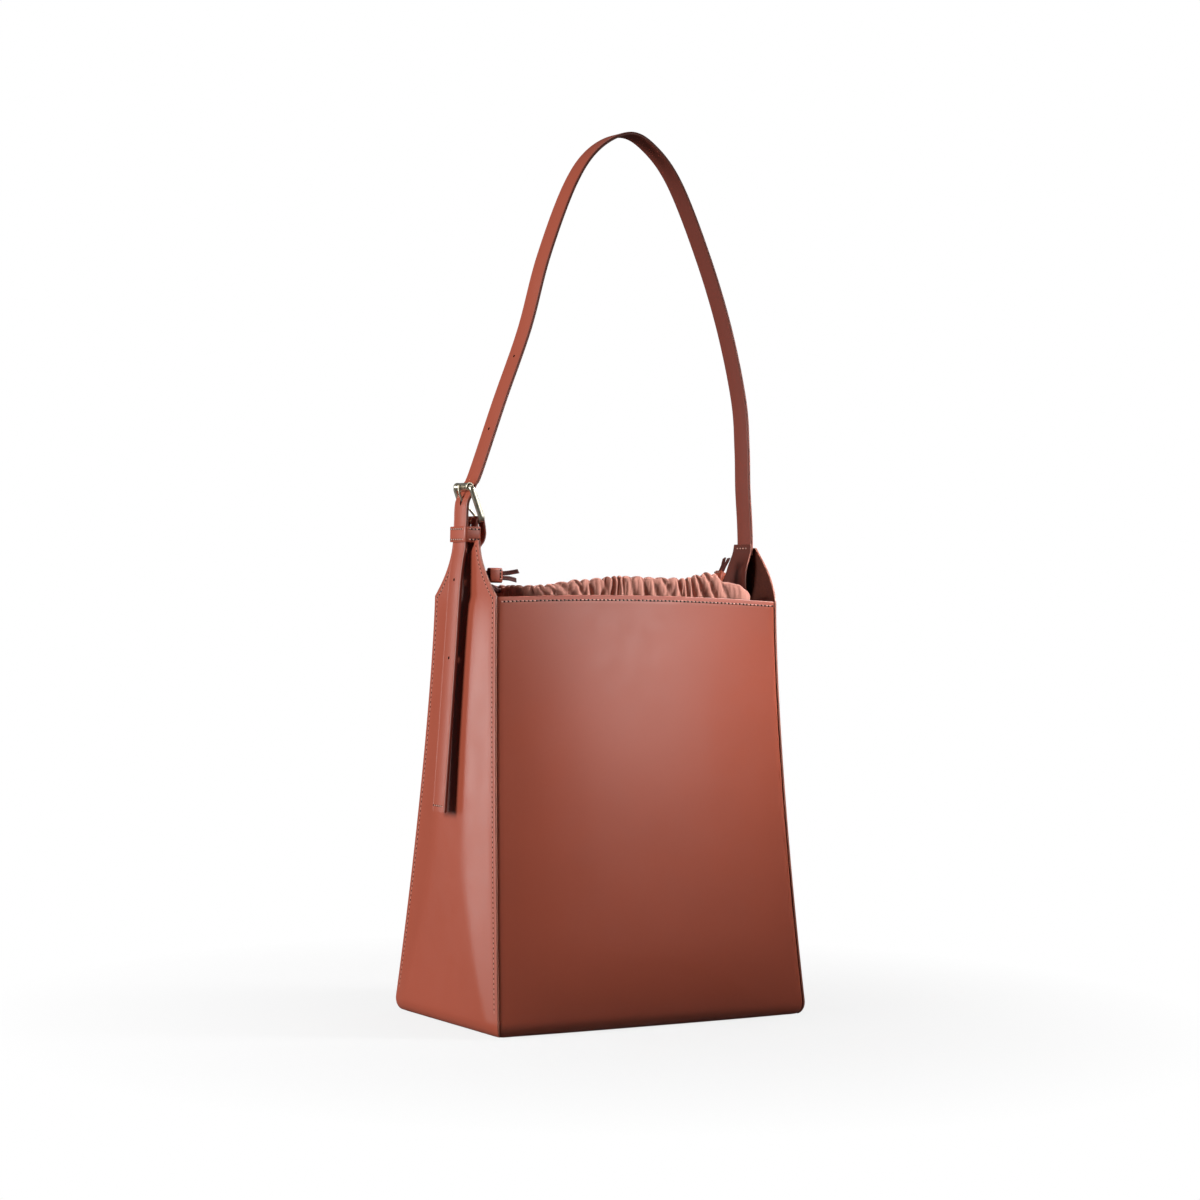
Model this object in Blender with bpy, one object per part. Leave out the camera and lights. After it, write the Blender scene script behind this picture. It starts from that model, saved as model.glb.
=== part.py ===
"""Bucket bag: leather shell, gathered drawstring pouch, shoulder strap and roller buckle.

Metres, +Z up. The origin is the middle of the flat base. X runs along the bag's width
with the buckle on the -X side, and the front faces -Y.
"""

import bpy
import bmesh
from math import asin, atan2, cos, pi, radians, sin, sqrt
from mathutils import Matrix, Vector

GAP = 0.0003                  # running gap left between touching pieces

# Shell
HEIGHT = 0.316                # floor to the ends of the top edge
TOP_ARCH = 0.003              # the top edge's rise in the middle
TOP_HALF_W = 0.1255
BASE_HALF_W = 0.1365
TOP_HALF_D = 0.046
BASE_HALF_D = 0.0795
FLARE_POWER = 1.45            # how late the sides flare on the way down
FOOT_HIGH = 0.011             # height of the rounding under the lower edges
FOOT_IN = 0.006               # how far that rounding goes in
ROUND_END = radians(78)       # how far the panels turn under before they meet the base
LEATHER = 0.0018
FACING = 0.0012
BULGE = 0.003                 # how far the big panels stand out in the middle
FACING_DROP = 0.030           # depth of the facing inside the top edge
BOARD = 0.002                 # thickness of the stiffener in the base

# Tabs that rise from the gussets
LEFT_TAB_HALF = 0.0195
LEFT_TAB_TOP = 0.3575
RIGHT_TAB_HALF = 0.0105
RIGHT_TAB_TOP = 0.358
RIGHT_TAB_LEAN = 0.0055       # how far the right tab leans outward
TAPER_RISE = 0.042            # height over which the gussets narrow
SWING_Z = 0.362               # height of the strap's swing axis
KEEPER_SWEEP = 0.0150         # radius kept free round that axis for the keeper
LOOP_SWEEP = 0.0195           # radius kept free round that axis for the buckle loop

# Pouch
CLOTH = 0.0008
POUCH_INSET = 0.0045          # from the shell's outer face to the pouch
POUCH_FLOOR = 0.0046
HEM_LEFT = -0.0960            # the gathered mouth stops short of the buckle side
HEM_RIGHT = 0.1165
HEM_MIDDLE = (HEM_LEFT + HEM_RIGHT) / 2
HEM_HALF_W = (HEM_RIGHT - HEM_LEFT) / 2
HEM_HALF_D = 0.0385
HEM_LOW = 0.3130
# The hem's upper edge as (x, z): a crown, one raised fold, then down to the right
HEM_EDGE = [(-0.0960, 0.3235), (-0.0800, 0.3245), (-0.0500, 0.3290), (-0.0100, 0.3325),
            (0.0450, 0.3318), (0.0580, 0.3345), (0.0660, 0.3366), (0.0730, 0.3362),
            (0.0820, 0.3300), (0.0950, 0.3285), (0.1050, 0.3268), (0.1165, 0.3200)]
HEM_THICK = 0.003
CORNER = 0.022                # corner radius of the pouch seen from above

# Drawcords and their sliders
CORD_R = 0.0011
CORD_SIDE = 0.0017            # half the distance between the two cords of a pair
SLIDER_WALL = 0.0011
SLIDER_HALF = (0.0027, 0.0048)   # across and along the pair of cords
SLIDER_RIGHT_ALONG = (0.4617, 0.0, 0.8870)

# Strap
STRAP_W = 0.019
STRAP_T = 0.0024
HOLE_R = 0.0012
STRAP_STEP = 0.009

# Buckle
BAR = Vector((-0.118, 0.0, 0.372))
ROLLER = Vector((-0.128, 0.0, 0.397))
WIRE_R = 0.0015
FRAME_HALF = 0.012            # bar centre to side wire centre
ROLLER_R = 0.0027
ROLLER_BORE = 0.0018
ROLLER_HALF = 0.0098
PRONG_R = 0.0010
LOOP_HALF = 0.0096            # half the width of the loop that holds the buckle
LOOP_WRAP = WIRE_R + GAP + LEATHER / 2

# Keeper
KEEPER_LOW = 0.356
KEEPER_HIGH = 0.3675
KEEPER_HALF_W = 0.0122
KEEPER_X = (-0.1327, -0.1187)
KEEPER_WALL = 0.0012

# The strap's middle line as (x, z), from its right end over the shoulder to the keeper
STRAP_ROUTE = [
    (0.1272, 0.3522), (0.1272, 0.3620), (0.1262, 0.3795), (0.1240, 0.4050), (0.1226, 0.4360),
    (0.1186, 0.4740), (0.1035, 0.5296), (0.0820, 0.5844), (0.0547, 0.6381), (0.0310, 0.6636),
    (0.0080, 0.6720), (-0.0192, 0.6584), (-0.0404, 0.6289), (-0.0626, 0.5725), (-0.0780, 0.5173),
    (-0.0985, 0.4622), (-0.1179, 0.4077), (-0.1228, 0.3985), (-0.1248, 0.3930), (-0.1272, 0.3890),
    (-0.1287, 0.3855), (-0.1293, 0.3800), (-0.1294, 0.3720), (-0.1298, 0.3630), (-0.1300, 0.3530),
]
TAIL_ROUTE = [(-0.1300, 0.3527), (-0.1334, 0.3280), (-0.1367, 0.2700), (-0.1435, 0.1570)]
STRAP_HOLES = [(-0.0875, 0.4967), (-0.1069, 0.4409)]
TAIL_HOLES = [(-0.1334, 0.3280), (-0.1367, 0.2703)]
PRONG_HOLE = (-0.1283, 0.3866)
PRONG_HOLE_HALF = (0.0037, 0.0015)

LEATHER_RGB = (0.37, 0.09, 0.05)
COLOURS = {
    "leather": (LEATHER_RGB, 0.42, 0.0),
    "leather_inside": ((0.22, 0.07, 0.045), 0.7, 0.0),
    "board": ((0.35, 0.30, 0.24), 0.9, 0.0),
    "cloth": ((0.48, 0.19, 0.14), 0.85, 0.0),
    "cord": ((0.16, 0.05, 0.035), 0.6, 0.0),
    "brass": ((0.72, 0.62, 0.42), 0.28, 1.0),
}


# ---------------------------------------------------------------- scene helpers

def clear_scene():
    for old in list(bpy.data.objects):
        bpy.data.objects.remove(old, do_unlink=True)


def material(node, kind):
    colour, rough, metal = COLOURS[kind]
    mat = bpy.data.materials.new(node)
    mat.use_nodes = True
    shader = mat.node_tree.nodes["Principled BSDF"]
    shader.inputs["Base Color"].default_value = (*colour, 1.0)
    shader.inputs["Roughness"].default_value = rough
    shader.inputs["Metallic"].default_value = metal
    return mat


def add_object(name, data, kind, origin=(0, 0, 0)):
    """Links an object whose data is in world coordinates, with its origin at a joint."""
    obj = bpy.data.objects.new(name, data)
    data.materials.append(material(name, kind))
    obj.location = origin
    bpy.context.scene.collection.objects.link(obj)
    return obj


def solid(name, verts, faces, kind, smooth=None, origin=(0, 0, 0)):
    """A closed mesh with its faces turned outward."""
    centre = Vector(origin)
    mesh = bpy.data.meshes.new(name)
    bm = bmesh.new()
    made = [bm.verts.new(Vector(v) - centre) for v in verts]
    for face in faces:
        bm.faces.new([made[i] for i in face])
    bmesh.ops.recalc_face_normals(bm, faces=bm.faces)
    bm.to_mesh(mesh)
    bm.free()
    if smooth:
        mesh.shade_smooth()
        mesh.set_sharp_from_angle(angle=radians(smooth))
    return add_object(name, mesh, kind, origin)


def thick_sheet(name, outer, inner, kind, smooth=40):
    """A sheet with thickness: two grids of the same rows and columns, joined at the rim."""
    rows = len(outer)
    cols = len(outer[0])
    verts = [p for row in outer for p in row] + [p for row in inner for p in row]
    back = rows * cols
    faces = []
    for r in range(rows - 1):
        for c in range(cols - 1):
            a = r * cols + c
            quad = (a, a + 1, a + cols + 1, a + cols)
            faces.append(quad)
            faces.append(tuple(back + i for i in reversed(quad)))
    rim = [c for c in range(cols)]
    rim += [r * cols + cols - 1 for r in range(1, rows)]
    rim += [(rows - 1) * cols + c for c in range(cols - 2, -1, -1)]
    rim += [r * cols for r in range(rows - 2, 0, -1)]
    for i, a in enumerate(rim):
        b = rim[(i + 1) % len(rim)]
        faces.append((b, a, back + a, back + b))
    return solid(name, verts, faces, kind, smooth)


def stacked_rings(name, rings, kind, closed=False, smooth=40, origin=(0, 0, 0)):
    """A skin over rings of equal counts, capped at both ends or joined end to start."""
    count = len(rings[0])
    verts = [p for ring in rings for p in ring]
    faces = []
    last = len(rings) if closed else len(rings) - 1
    for r in range(last):
        here = r * count
        there = ((r + 1) % len(rings)) * count
        for i in range(count):
            j = (i + 1) % count
            faces.append((here + i, here + j, there + j, there + i))
    if not closed:
        faces.append(tuple(reversed(range(count))))
        faces.append(tuple(range(last * count, (last + 1) * count)))
    return solid(name, verts, faces, kind, smooth, origin)


def smooth_route(points, step):
    """Evenly spaced points on a Catmull-Rom curve through the given points."""
    pts = [Vector(p) for p in points]
    ends = [2 * pts[0] - pts[1]] + pts + [2 * pts[-1] - pts[-2]]
    fine = []
    for a, b, c, d in zip(ends, ends[1:], ends[2:], ends[3:]):
        for k in range(24):
            t = k / 24
            fine.append(0.5 * (2 * b + (c - a) * t + (2 * a - 5 * b + 4 * c - d) * t * t
                               + (3 * b - a - 3 * c + d) * t ** 3))
    fine.append(pts[-1])
    lengths = [0.0]
    for p, q in zip(fine, fine[1:]):
        lengths.append(lengths[-1] + (q - p).length)
    count = max(2, round(lengths[-1] / step))
    route = []
    k = 0
    for n in range(count + 1):
        want = lengths[-1] * n / count
        while k < len(fine) - 2 and lengths[k + 1] < want:
            k += 1
        span = lengths[k + 1] - lengths[k]
        route.append(fine[k].lerp(fine[k + 1], (want - lengths[k]) / span))
    return route


def band(name, route, width, thick, kind, origin=(0, 0, 0)):
    """A flat strap swept along a route in the XZ plane, its width along Y."""
    pts = [Vector((p[0], 0.0, p[1])) for p in route]
    rings = []
    for i, p in enumerate(pts):
        ahead = pts[min(i + 1, len(pts) - 1)]
        behind = pts[max(i - 1, 0)]
        along = (ahead - behind).normalized()
        across = Vector((0, width / 2, 0))
        out = Vector((along.z, 0, -along.x)) * thick / 2
        rings.append([p + across + out, p - across + out, p - across - out, p + across - out])
    return stacked_rings(name, rings, kind, origin=origin)


def tube(name, points, radius, kind, step, origin=(0, 0, 0)):
    """A round cord along a smooth curve through the points."""
    curve = bpy.data.curves.new(name, "CURVE")
    curve.dimensions = "3D"
    curve.bevel_depth = radius
    curve.bevel_resolution = 2
    curve.use_fill_caps = True
    route = smooth_route(points, step)
    spline = curve.splines.new("POLY")
    spline.points.add(len(route) - 1)
    for point, p in zip(spline.points, route):
        point.co = (*(p - Vector(origin)), 1.0)
    return add_object(name, curve, kind, origin)


def rounded_outline(half_a, half_b, radius, per_corner):
    """Points round a rounded rectangle, as (a, b) pairs."""
    outline = []
    for k, (sa, sb) in enumerate([(1, 1), (-1, 1), (-1, -1), (1, -1)]):
        ca = sa * (half_a - radius)
        cb = sb * (half_b - radius)
        for n in range(per_corner + 1):
            angle = pi / 2 * (k + n / per_corner)
            outline.append((ca + radius * cos(angle), cb + radius * sin(angle)))
    return outline


def cut(obj, name, matrix, radius_x, radius_y, depth, sides=16):
    """Cuts an elliptical hole, whose axis is the matrix's Z, through an object."""
    mesh = bpy.data.meshes.new(name)
    bm = bmesh.new()
    bmesh.ops.create_cone(bm, cap_ends=True, segments=sides, radius1=1.0, radius2=1.0, depth=depth)
    bmesh.ops.scale(bm, vec=(radius_x, radius_y, 1.0), verts=bm.verts)
    bm.to_mesh(mesh)
    bm.free()
    return subtract(obj, name, mesh, matrix)


def cut_box(obj, name, low, high):
    """Cuts a box, given by two corners, out of an object."""
    mesh = bpy.data.meshes.new(name)
    bm = bmesh.new()
    bmesh.ops.create_cube(bm, size=1.0)
    bmesh.ops.scale(bm, vec=[h - l for l, h in zip(low, high)], verts=bm.verts)
    bm.to_mesh(mesh)
    bm.free()
    middle = [(l + h) / 2 for l, h in zip(low, high)]
    return subtract(obj, name, mesh, Matrix.Translation(middle))


def subtract(obj, name, mesh, matrix):
    cutter = bpy.data.objects.new(name, mesh)
    cutter.matrix_world = matrix
    cutter.hide_render = True
    cutter.display_type = "WIRE"
    bpy.context.scene.collection.objects.link(cutter)
    boolean = obj.modifiers.new(name, "BOOLEAN")
    boolean.operation = "DIFFERENCE"
    boolean.solver = "EXACT"
    boolean.object = cutter
    return cutter


# ---------------------------------------------------------------- the shell's shape

def flare(z):
    return max(0.0, (HEIGHT - z) / HEIGHT) ** FLARE_POWER


def half_width(z):
    return TOP_HALF_W + (BASE_HALF_W - TOP_HALF_W) * flare(z)


def half_depth(z):
    return TOP_HALF_D + (BASE_HALF_D - TOP_HALF_D) * flare(z)


def foot_point(angle, depth):
    """(z, inset) on the turned-under foot, at a depth below its outer face."""
    return (FOOT_HIGH - (FOOT_HIGH - depth) * sin(angle), FOOT_IN - (FOOT_IN - depth) * cos(angle))


def wall_stations(heights):
    """Outer and inner (z, inset) pairs up a wall: its turned-under foot, then its heights."""
    stations = []
    turns = 5
    for k in range(turns):
        angle = ROUND_END * (1 - k / turns)
        stations.append((foot_point(angle, 0.0), foot_point(angle, LEATHER)))
    for z in heights:
        stations.append(((z, 0.0), (z, LEATHER)))
    return stations


def crown(z):
    """How much of the bulge a wall has at a height: none at the rim and the foot."""
    return max(0.0, sin(pi * min(1.0, z / HEIGHT)))


def wide_panel(name, side):
    """The front (side -1) or the back (side 1), between the gussets' inner faces."""
    heights = [FOOT_HIGH, 0.035, 0.07, 0.11, 0.15, 0.19, 0.23, 0.265, 0.295, HEIGHT]
    outer = []
    inner = []
    for (zo, io), (zi, ii) in wall_stations(heights):
        for z, inset, grid in ((zo, io, outer), (zi, ii, inner)):
            reach = half_width(z) - max(0.0, io) - LEATHER - GAP
            row = []
            for k in range(13):
                u = -1 + 2 * k / 12
                swell = BULGE * (1 - u * u) * crown(zo)
                lift = TOP_ARCH * (1 - u * u) * (zo / HEIGHT) ** 4
                row.append((u * reach, side * (half_depth(z) - inset + swell), z + lift))
            grid.append(row)
    return thick_sheet(name, outer, inner, "leather")


def top_facing(name, side):
    """The leather facing inside the top edge of the front or the back."""
    outer = []
    inner = []
    for n in range(4):
        z = HEIGHT - FACING_DROP * (1 - n / 3)
        reach = half_width(z) - LEATHER - GAP - FACING - 2 * GAP
        for depth, grid in ((LEATHER + GAP, outer), (LEATHER + GAP + FACING, inner)):
            row = []
            for k in range(13):
                u = -1 + 2 * k / 12
                swell = BULGE * (1 - u * u) * crown(z)
                lift = TOP_ARCH * (1 - u * u) * (z / HEIGHT) ** 4
                row.append((u * reach, side * (half_depth(z) - depth + swell), z + lift))
            grid.append(row)
    return thick_sheet(name, outer, inner, "leather_inside")


def left_taper(z):
    s = min(1.0, max(0.0, (z - HEIGHT) / TAPER_RISE))
    return LEFT_TAB_HALF + (TOP_HALF_D - LEFT_TAB_HALF) * (1 - s) ** 1.8


def right_taper(z):
    s = min(1.0, max(0.0, (z - HEIGHT) / TAPER_RISE))
    return TOP_HALF_D - (TOP_HALF_D - RIGHT_TAB_HALF) * s ** 1.15


def right_lean(z):
    """The right tab leans out quickly, then stands straight beside the strap's end."""
    s = min(1.0, max(0.0, (z - HEIGHT) / (0.347 - HEIGHT)))
    return RIGHT_TAB_LEAN * sin(s * pi / 2)


def edge_height(base, z, top, y, sweep):
    """Lifts the rows above base so that the last one follows the tab's cut top edge."""
    limit = top
    if abs(y) < sweep:
        limit = min(top, SWING_Z - sqrt(sweep * sweep - y * y))
    return base + (limit - base) * (z - base) / (top - base)


def gusset(name, side):
    """A narrow side with its tab: side -1 carries the buckle, side 1 the strap's end."""
    heights = [FOOT_HIGH, 0.035, 0.07, 0.11, 0.15, 0.19, 0.23, 0.265, 0.295, HEIGHT]
    heights += [0.3215, 0.327, 0.3325, 0.338, 0.343, 0.348, 0.353]
    heights += [LEFT_TAB_TOP if side < 0 else RIGHT_TAB_TOP]
    outer = []
    inner = []
    for (zo, io), (zi, ii) in wall_stations(heights):
        for z, inset, grid in ((zo, io, outer), (zi, ii, inner)):
            row = []
            for k in range(17):
                u = -1 + 2 * k / 16
                if z <= HEIGHT:
                    reach = half_depth(z) - max(0.0, io)
                    lean = 0.0
                elif side < 0:
                    reach = left_taper(z)
                    lean = 0.0
                else:
                    reach = right_taper(z)
                    lean = right_lean(z)
                y = u * reach
                height = z
                if side < 0 and z > 0.338:
                    height = edge_height(0.338, z, LEFT_TAB_TOP, y, KEEPER_SWEEP)
                swell = BULGE * (1 - u * u) * crown(zo)
                row.append((side * (half_width(z) - inset + swell + lean), y, height))
            grid.append(row)
    return thick_sheet(name, outer, inner, "leather")


def left_tab_facing():
    """The second layer inside the left gusset, from below the rim up to the buckle loop."""
    outer = []
    inner = []
    top = 0.350
    for z in (0.292, 0.304, HEIGHT, 0.3235, 0.331, 0.3375, 0.344, top):
        for depth, grid in ((LEATHER + GAP, outer), (LEATHER + GAP + FACING, inner)):
            row = []
            for k in range(17):
                u = -1 + 2 * k / 16
                reach = min(half_depth(z), left_taper(z)) - 0.0045
                y = u * reach
                height = z
                if z > 0.331:
                    height = edge_height(0.331, z, top, y, LOOP_SWEEP)
                swell = BULGE * (1 - u * u) * crown(z)
                row.append((-(half_width(z) - depth + swell), y, height))
            grid.append(row)
    return thick_sheet("left_tab_facing", outer, inner, "leather_inside")


def right_tab_leaf():
    """The inner leaf of the right tab, which clamps the strap's end and bows inward."""
    line = smooth_route([(0.1249, 0.3608), (0.1244, 0.3540), (0.1224, 0.3470), (0.1202, 0.3395),
                         (0.1192, 0.3310), (0.1198, 0.3230), (0.1213, 0.3140), (0.1221, 0.3060),
                         (0.1223, 0.2950)], 0.006)
    thick = 0.0014
    outer = []
    inner = []
    for i, p in enumerate(line):
        along = (line[min(i + 1, len(line) - 1)] - line[max(i - 1, 0)]).normalized()
        out = Vector((-along.y, along.x)) * thick / 2
        reach = 0.0112 + 0.0030 * min(1.0, i / 5)
        for sign, grid in ((1, outer), (-1, inner)):
            q = p + out * sign
            grid.append([(q.x, reach * (-1 + k / 3), q.y) for k in range(7)])
    return thick_sheet("right_tab_leaf", outer, inner, "leather_inside")


def plate(name, half_a, half_b, radius, low, high, kind):
    outline = rounded_outline(half_a, half_b, radius, 5)
    return stacked_rings(name, [[(a, b, z) for a, b in outline] for z in (low, high)], kind, smooth=30)


def shell():
    wide_panel("front_panel", -1)
    wide_panel("back_panel", 1)
    gusset("left_gusset", -1)
    gusset("right_gusset", 1)
    top_facing("front_top_facing", -1)
    top_facing("back_top_facing", 1)
    left_tab_facing()
    right_tab_leaf()
    reach = foot_point(ROUND_END, LEATHER)[1] + GAP
    plate("base_panel", BASE_HALF_W - reach, BASE_HALF_D - reach, 0.004, 0.0, LEATHER, "leather")
    low = LEATHER + GAP
    plate("base_board", BASE_HALF_W - 0.0165, BASE_HALF_D - 0.0165, 0.004, low, low + BOARD, "board")


# ---------------------------------------------------------------- pouch, cords, sliders

def pouch_ring(z, half_a, half_b, middle=0.0):
    return [(middle + a, b, z) for a, b in rounded_outline(half_a, half_b, CORNER, 6)]


def pouch():
    """The cloth lining: up the inside of the shell, then drawn in to the hem."""
    levels = [(POUCH_FLOOR, 0.0135), (0.011, 0.0055), (0.030, 0.0), (0.08, 0.0), (0.14, 0.0),
              (0.20, 0.0), (0.25, 0.0), (0.285, 0.0)]
    neck = HEM_LOW - GAP
    outside = [pouch_ring(z, half_width(z) - POUCH_INSET - i, half_depth(z) - POUCH_INSET - i)
               for z, i in levels]
    outside.append(pouch_ring(neck, HEM_HALF_W, HEM_HALF_D, HEM_MIDDLE))
    inside = [pouch_ring(neck, HEM_HALF_W - CLOTH, HEM_HALF_D - CLOTH, HEM_MIDDLE)]
    for z, i in reversed(levels):
        lift = CLOTH if z == POUCH_FLOOR else 0.0
        less = POUCH_INSET + i + CLOTH
        inside.append(pouch_ring(z + lift, half_width(z) - less, half_depth(z) - less))
    stacked_rings("pouch", outside + inside, "cloth")


def hem_top(x):
    """The height of the hem's upper edge."""
    for (x0, z0), (x1, z1) in zip(HEM_EDGE, HEM_EDGE[1:]):
        if x <= x1:
            break
    return z0 + (z1 - z0) * (x - x0) / (x1 - x0)


def hem_ring(half_a, half_b):
    """The hem seen from above, with its long sides divided so that the top edge can follow."""
    corners = pouch_ring(0.0, half_a, half_b, HEM_MIDDLE)
    ring = []
    for (xa, ya, _), (xb, yb, _) in zip(corners, corners[1:] + corners[:1]):
        pieces = max(1, round(abs(xb - xa) / 0.014))
        ring += [(xa + (xb - xa) * k / pieces, ya + (yb - ya) * k / pieces) for k in range(pieces)]
    return ring


def pouch_hem():
    """The gathered heading with the drawcord's channel."""
    outer = hem_ring(HEM_HALF_W, HEM_HALF_D)
    inner = hem_ring(HEM_HALF_W - HEM_THICK, HEM_HALF_D - HEM_THICK)
    rings = [[(a, b, HEM_LOW) for a, b in outer], [(a, b, hem_top(a)) for a, b in outer],
             [(a, b, hem_top(a)) for a, b in inner], [(a, b, HEM_LOW) for a, b in inner]]
    stacked_rings("pouch_hem", rings, "cloth", closed=True)


def slider(name, centre, along, wide, length):
    """A stitched leather loop round a pair of cords that lie side by side along wide."""
    thin = Vector(wide).cross(Vector(along))
    outer = rounded_outline(SLIDER_HALF[0], SLIDER_HALF[1], 0.0012, 3)
    inner = rounded_outline(SLIDER_HALF[0] - SLIDER_WALL, SLIDER_HALF[1] - SLIDER_WALL, 0.0006, 3)
    rings = []
    for outline, end in ((outer, -0.5), (outer, 0.5), (inner, 0.5), (inner, -0.5)):
        rings.append([Vector(centre) + thin * a + Vector(wide) * b + Vector(along) * end * length
                      for a, b in outline])
    stacked_rings(name, rings, "leather", closed=True, smooth=30, origin=centre)


def drawcords():
    """Two short cords at each end of the hem, each pair held by a slider."""
    out = HEM_LEFT - GAP - 0.0001
    tube("drawcord_left_upper",
         [(out, -0.0030, 0.3205), (out - 0.0035, -0.0030, 0.3212), (-0.1035, -0.0032, 0.3235),
          (-0.1080, -0.0030, 0.3242), (-0.1115, -0.0022, 0.3270), (-0.1110, -0.0008, 0.3315),
          (-0.1085, 0.0, 0.3335), (-0.1050, 0.0, 0.3337), (-0.1000, 0.0, 0.3337),
          (-0.0940, 0.0, 0.3337), (-0.0890, -0.0002, 0.3340), (-0.0850, -0.0008, 0.3347),
          (-0.0800, -0.0014, 0.3356)],
         CORD_R, "cord", 0.0040)
    tube("drawcord_left_lower",
         [(out, 0.0030, 0.3205), (out - 0.0035, 0.0030, 0.3208), (-0.1030, 0.0030, 0.3222),
          (-0.1075, 0.0026, 0.3232), (-0.1095, 0.0014, 0.3262), (-0.1085, 0.0004, 0.3292),
          (-0.1055, 0.0, 0.3303), (-0.1000, 0.0, 0.3303), (-0.0940, 0.0, 0.3303),
          (-0.0890, 0.0002, 0.3301), (-0.0850, 0.0006, 0.3296), (-0.0805, 0.0010, 0.3286)],
         CORD_R, "cord", 0.0040)
    out = HEM_RIGHT - HEM_THICK - GAP - 0.0001
    for name, side in (("front", -1), ("back", 1)):
        y = side * CORD_SIDE
        fan = side * 0.0026
        tube("drawcord_right_" + name,
             [(out, y, 0.3165), (out - 0.0040, y, 0.3165), (0.1040, y, 0.3178), (0.1002, y, 0.3215),
              (0.0992, y, 0.3260), (0.1000, y, 0.3300), (0.1023, y, 0.3345), (0.1046, y, 0.3389),
              (0.1069, y, 0.3433), (0.1086, fan, 0.3470), (0.1098, fan * 1.2, 0.3500)],
             CORD_R, "cord", 0.0040)
    slider("slider_left", (-0.1000, 0.0, 0.3320), (1, 0, 0), (0, 0, 1), 0.0105)
    slider("slider_right", (0.1023, 0.0, 0.3345), SLIDER_RIGHT_ALONG, (0, 1, 0), 0.0090)


# ---------------------------------------------------------------- buckle

def circle(centre, radius, count, axis_a, axis_b):
    return [Vector(centre) + axis_a * (radius * cos(2 * pi * k / count))
            + axis_b * (radius * sin(2 * pi * k / count)) for k in range(count)]


def wire(name, points, radius, kind, closed, origin, sides=10):
    """A bent wire through the points, round in section, all bends in one plane."""
    rings = []
    count = len(points)
    for i, p in enumerate(points):
        ahead = points[(i + 1) % count] if closed else points[min(i + 1, count - 1)]
        behind = points[i - 1] if closed else points[max(i - 1, 0)]
        along = (ahead - behind).normalized()
        flat = (points[count // 3] - points[0]).cross(points[2 * count // 3] - points[0]).normalized()
        rings.append(circle(p, radius, sides, flat, along.cross(flat)))
    return stacked_rings(name, rings, kind, closed=closed, smooth=50, origin=origin)


def buckle_frame():
    up = ROLLER - BAR
    half_up = up.length / 2
    up.normalize()
    middle = (BAR + ROLLER) / 2
    points = [middle + Vector((0, a, 0)) + up * b
              for a, b in rounded_outline(FRAME_HALF, half_up, 0.0025, 4)]
    wire("buckle_frame", points, WIRE_R, "brass", True, BAR)


def buckle_roller():
    ends = ((ROLLER_R, -1), (ROLLER_R, 1), (ROLLER_BORE, 1), (ROLLER_BORE, -1))
    rings = [circle(ROLLER + Vector((0, side * ROLLER_HALF, 0)), radius, 20, Vector((1, 0, 0)),
                    Vector((0, 0, 1))) for radius, side in ends]
    stacked_rings("buckle_roller", rings, "brass", closed=True, origin=ROLLER)


def buckle_prong():
    """A pin hooked round the lower bar, through the strap's hole, to rest on the roller."""
    hook = WIRE_R + GAP + PRONG_R + 0.0001
    hole = Vector((PRONG_HOLE[0], 0, PRONG_HOLE[1]))
    reach = hole - BAR
    leave = atan2(reach.z, reach.x) - (pi / 2 - asin(hook / reach.length))
    points = []
    turns = 12
    for k in range(turns + 1):
        angle = leave - radians(235) * (1 - k / turns)
        points.append(BAR + Vector((cos(angle), 0, sin(angle))) * hook)
    points.append(points[-1].lerp(hole, 0.5))
    points.append(hole)
    points.append(Vector((-0.1307, 0, 0.3912)))
    points.append(Vector((-0.1317, 0, 0.3952)))
    points.append(Vector((-0.1322, 0, 0.3985)))
    wire("buckle_prong", points, PRONG_R, "brass", False, BAR)


def buckle_loop():
    """The leather loop that holds the lower bar: up outside it, over, and down inside."""
    line = [(-0.1215, 0.3470), (-0.1215, 0.3520), (-0.1215, 0.3590), (-0.1215, 0.3665)]
    for k in range(9):
        angle = pi * (1 - k / 8)
        line.append((BAR.x + LOOP_WRAP * cos(angle), BAR.z + LOOP_WRAP * sin(angle)))
    inner_leg = [(line[-1][0], line[-1][1]), (-0.1143, 0.3670), (-0.1139, 0.3620), (-0.1152, 0.3570),
                 (-0.1180, 0.3530), (-0.1192, 0.3470)]
    line += [tuple(p) for p in smooth_route(inner_leg, 0.0028)[1:]]
    loop = band("buckle_loop", line, 2 * LOOP_HALF, LEATHER, "leather")
    side = PRONG_R + 3 * GAP
    cut_box(loop, "prong_slot", (BAR.x - 0.0070, -side, BAR.z - 0.0045), (BAR.x + 0.0060, side, 0.380))


def keeper():
    middle = (KEEPER_X[0] + KEEPER_X[1]) / 2
    half = (KEEPER_X[1] - KEEPER_X[0]) / 2
    outer = rounded_outline(half, KEEPER_HALF_W, 0.002, 3)
    inner = rounded_outline(half - KEEPER_WALL, KEEPER_HALF_W - KEEPER_WALL, 0.001, 3)
    rings = [[(middle + a, b, z) for a, b in outline] for outline, z in
             ((outer, KEEPER_LOW), (outer, KEEPER_HIGH), (inner, KEEPER_HIGH), (inner, KEEPER_LOW))]
    stacked_rings("keeper", rings, "leather", closed=True, smooth=30)


# ---------------------------------------------------------------- strap

def hole_matrix(spot, route):
    """A frame at a point of a strap: X along the strap, Y across it, Z through it."""
    here = Vector(spot)
    near = min(range(1, len(route) - 1), key=lambda i: (route[i] - here).length)
    along = (route[near + 1] - route[near - 1]).normalized()
    x = Vector((along.x, 0, along.y))
    y = Vector((0, 1, 0))
    turn = Matrix((x, y, x.cross(y))).transposed().to_4x4()
    return Matrix.Translation((here.x, 0, here.y)) @ turn


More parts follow.
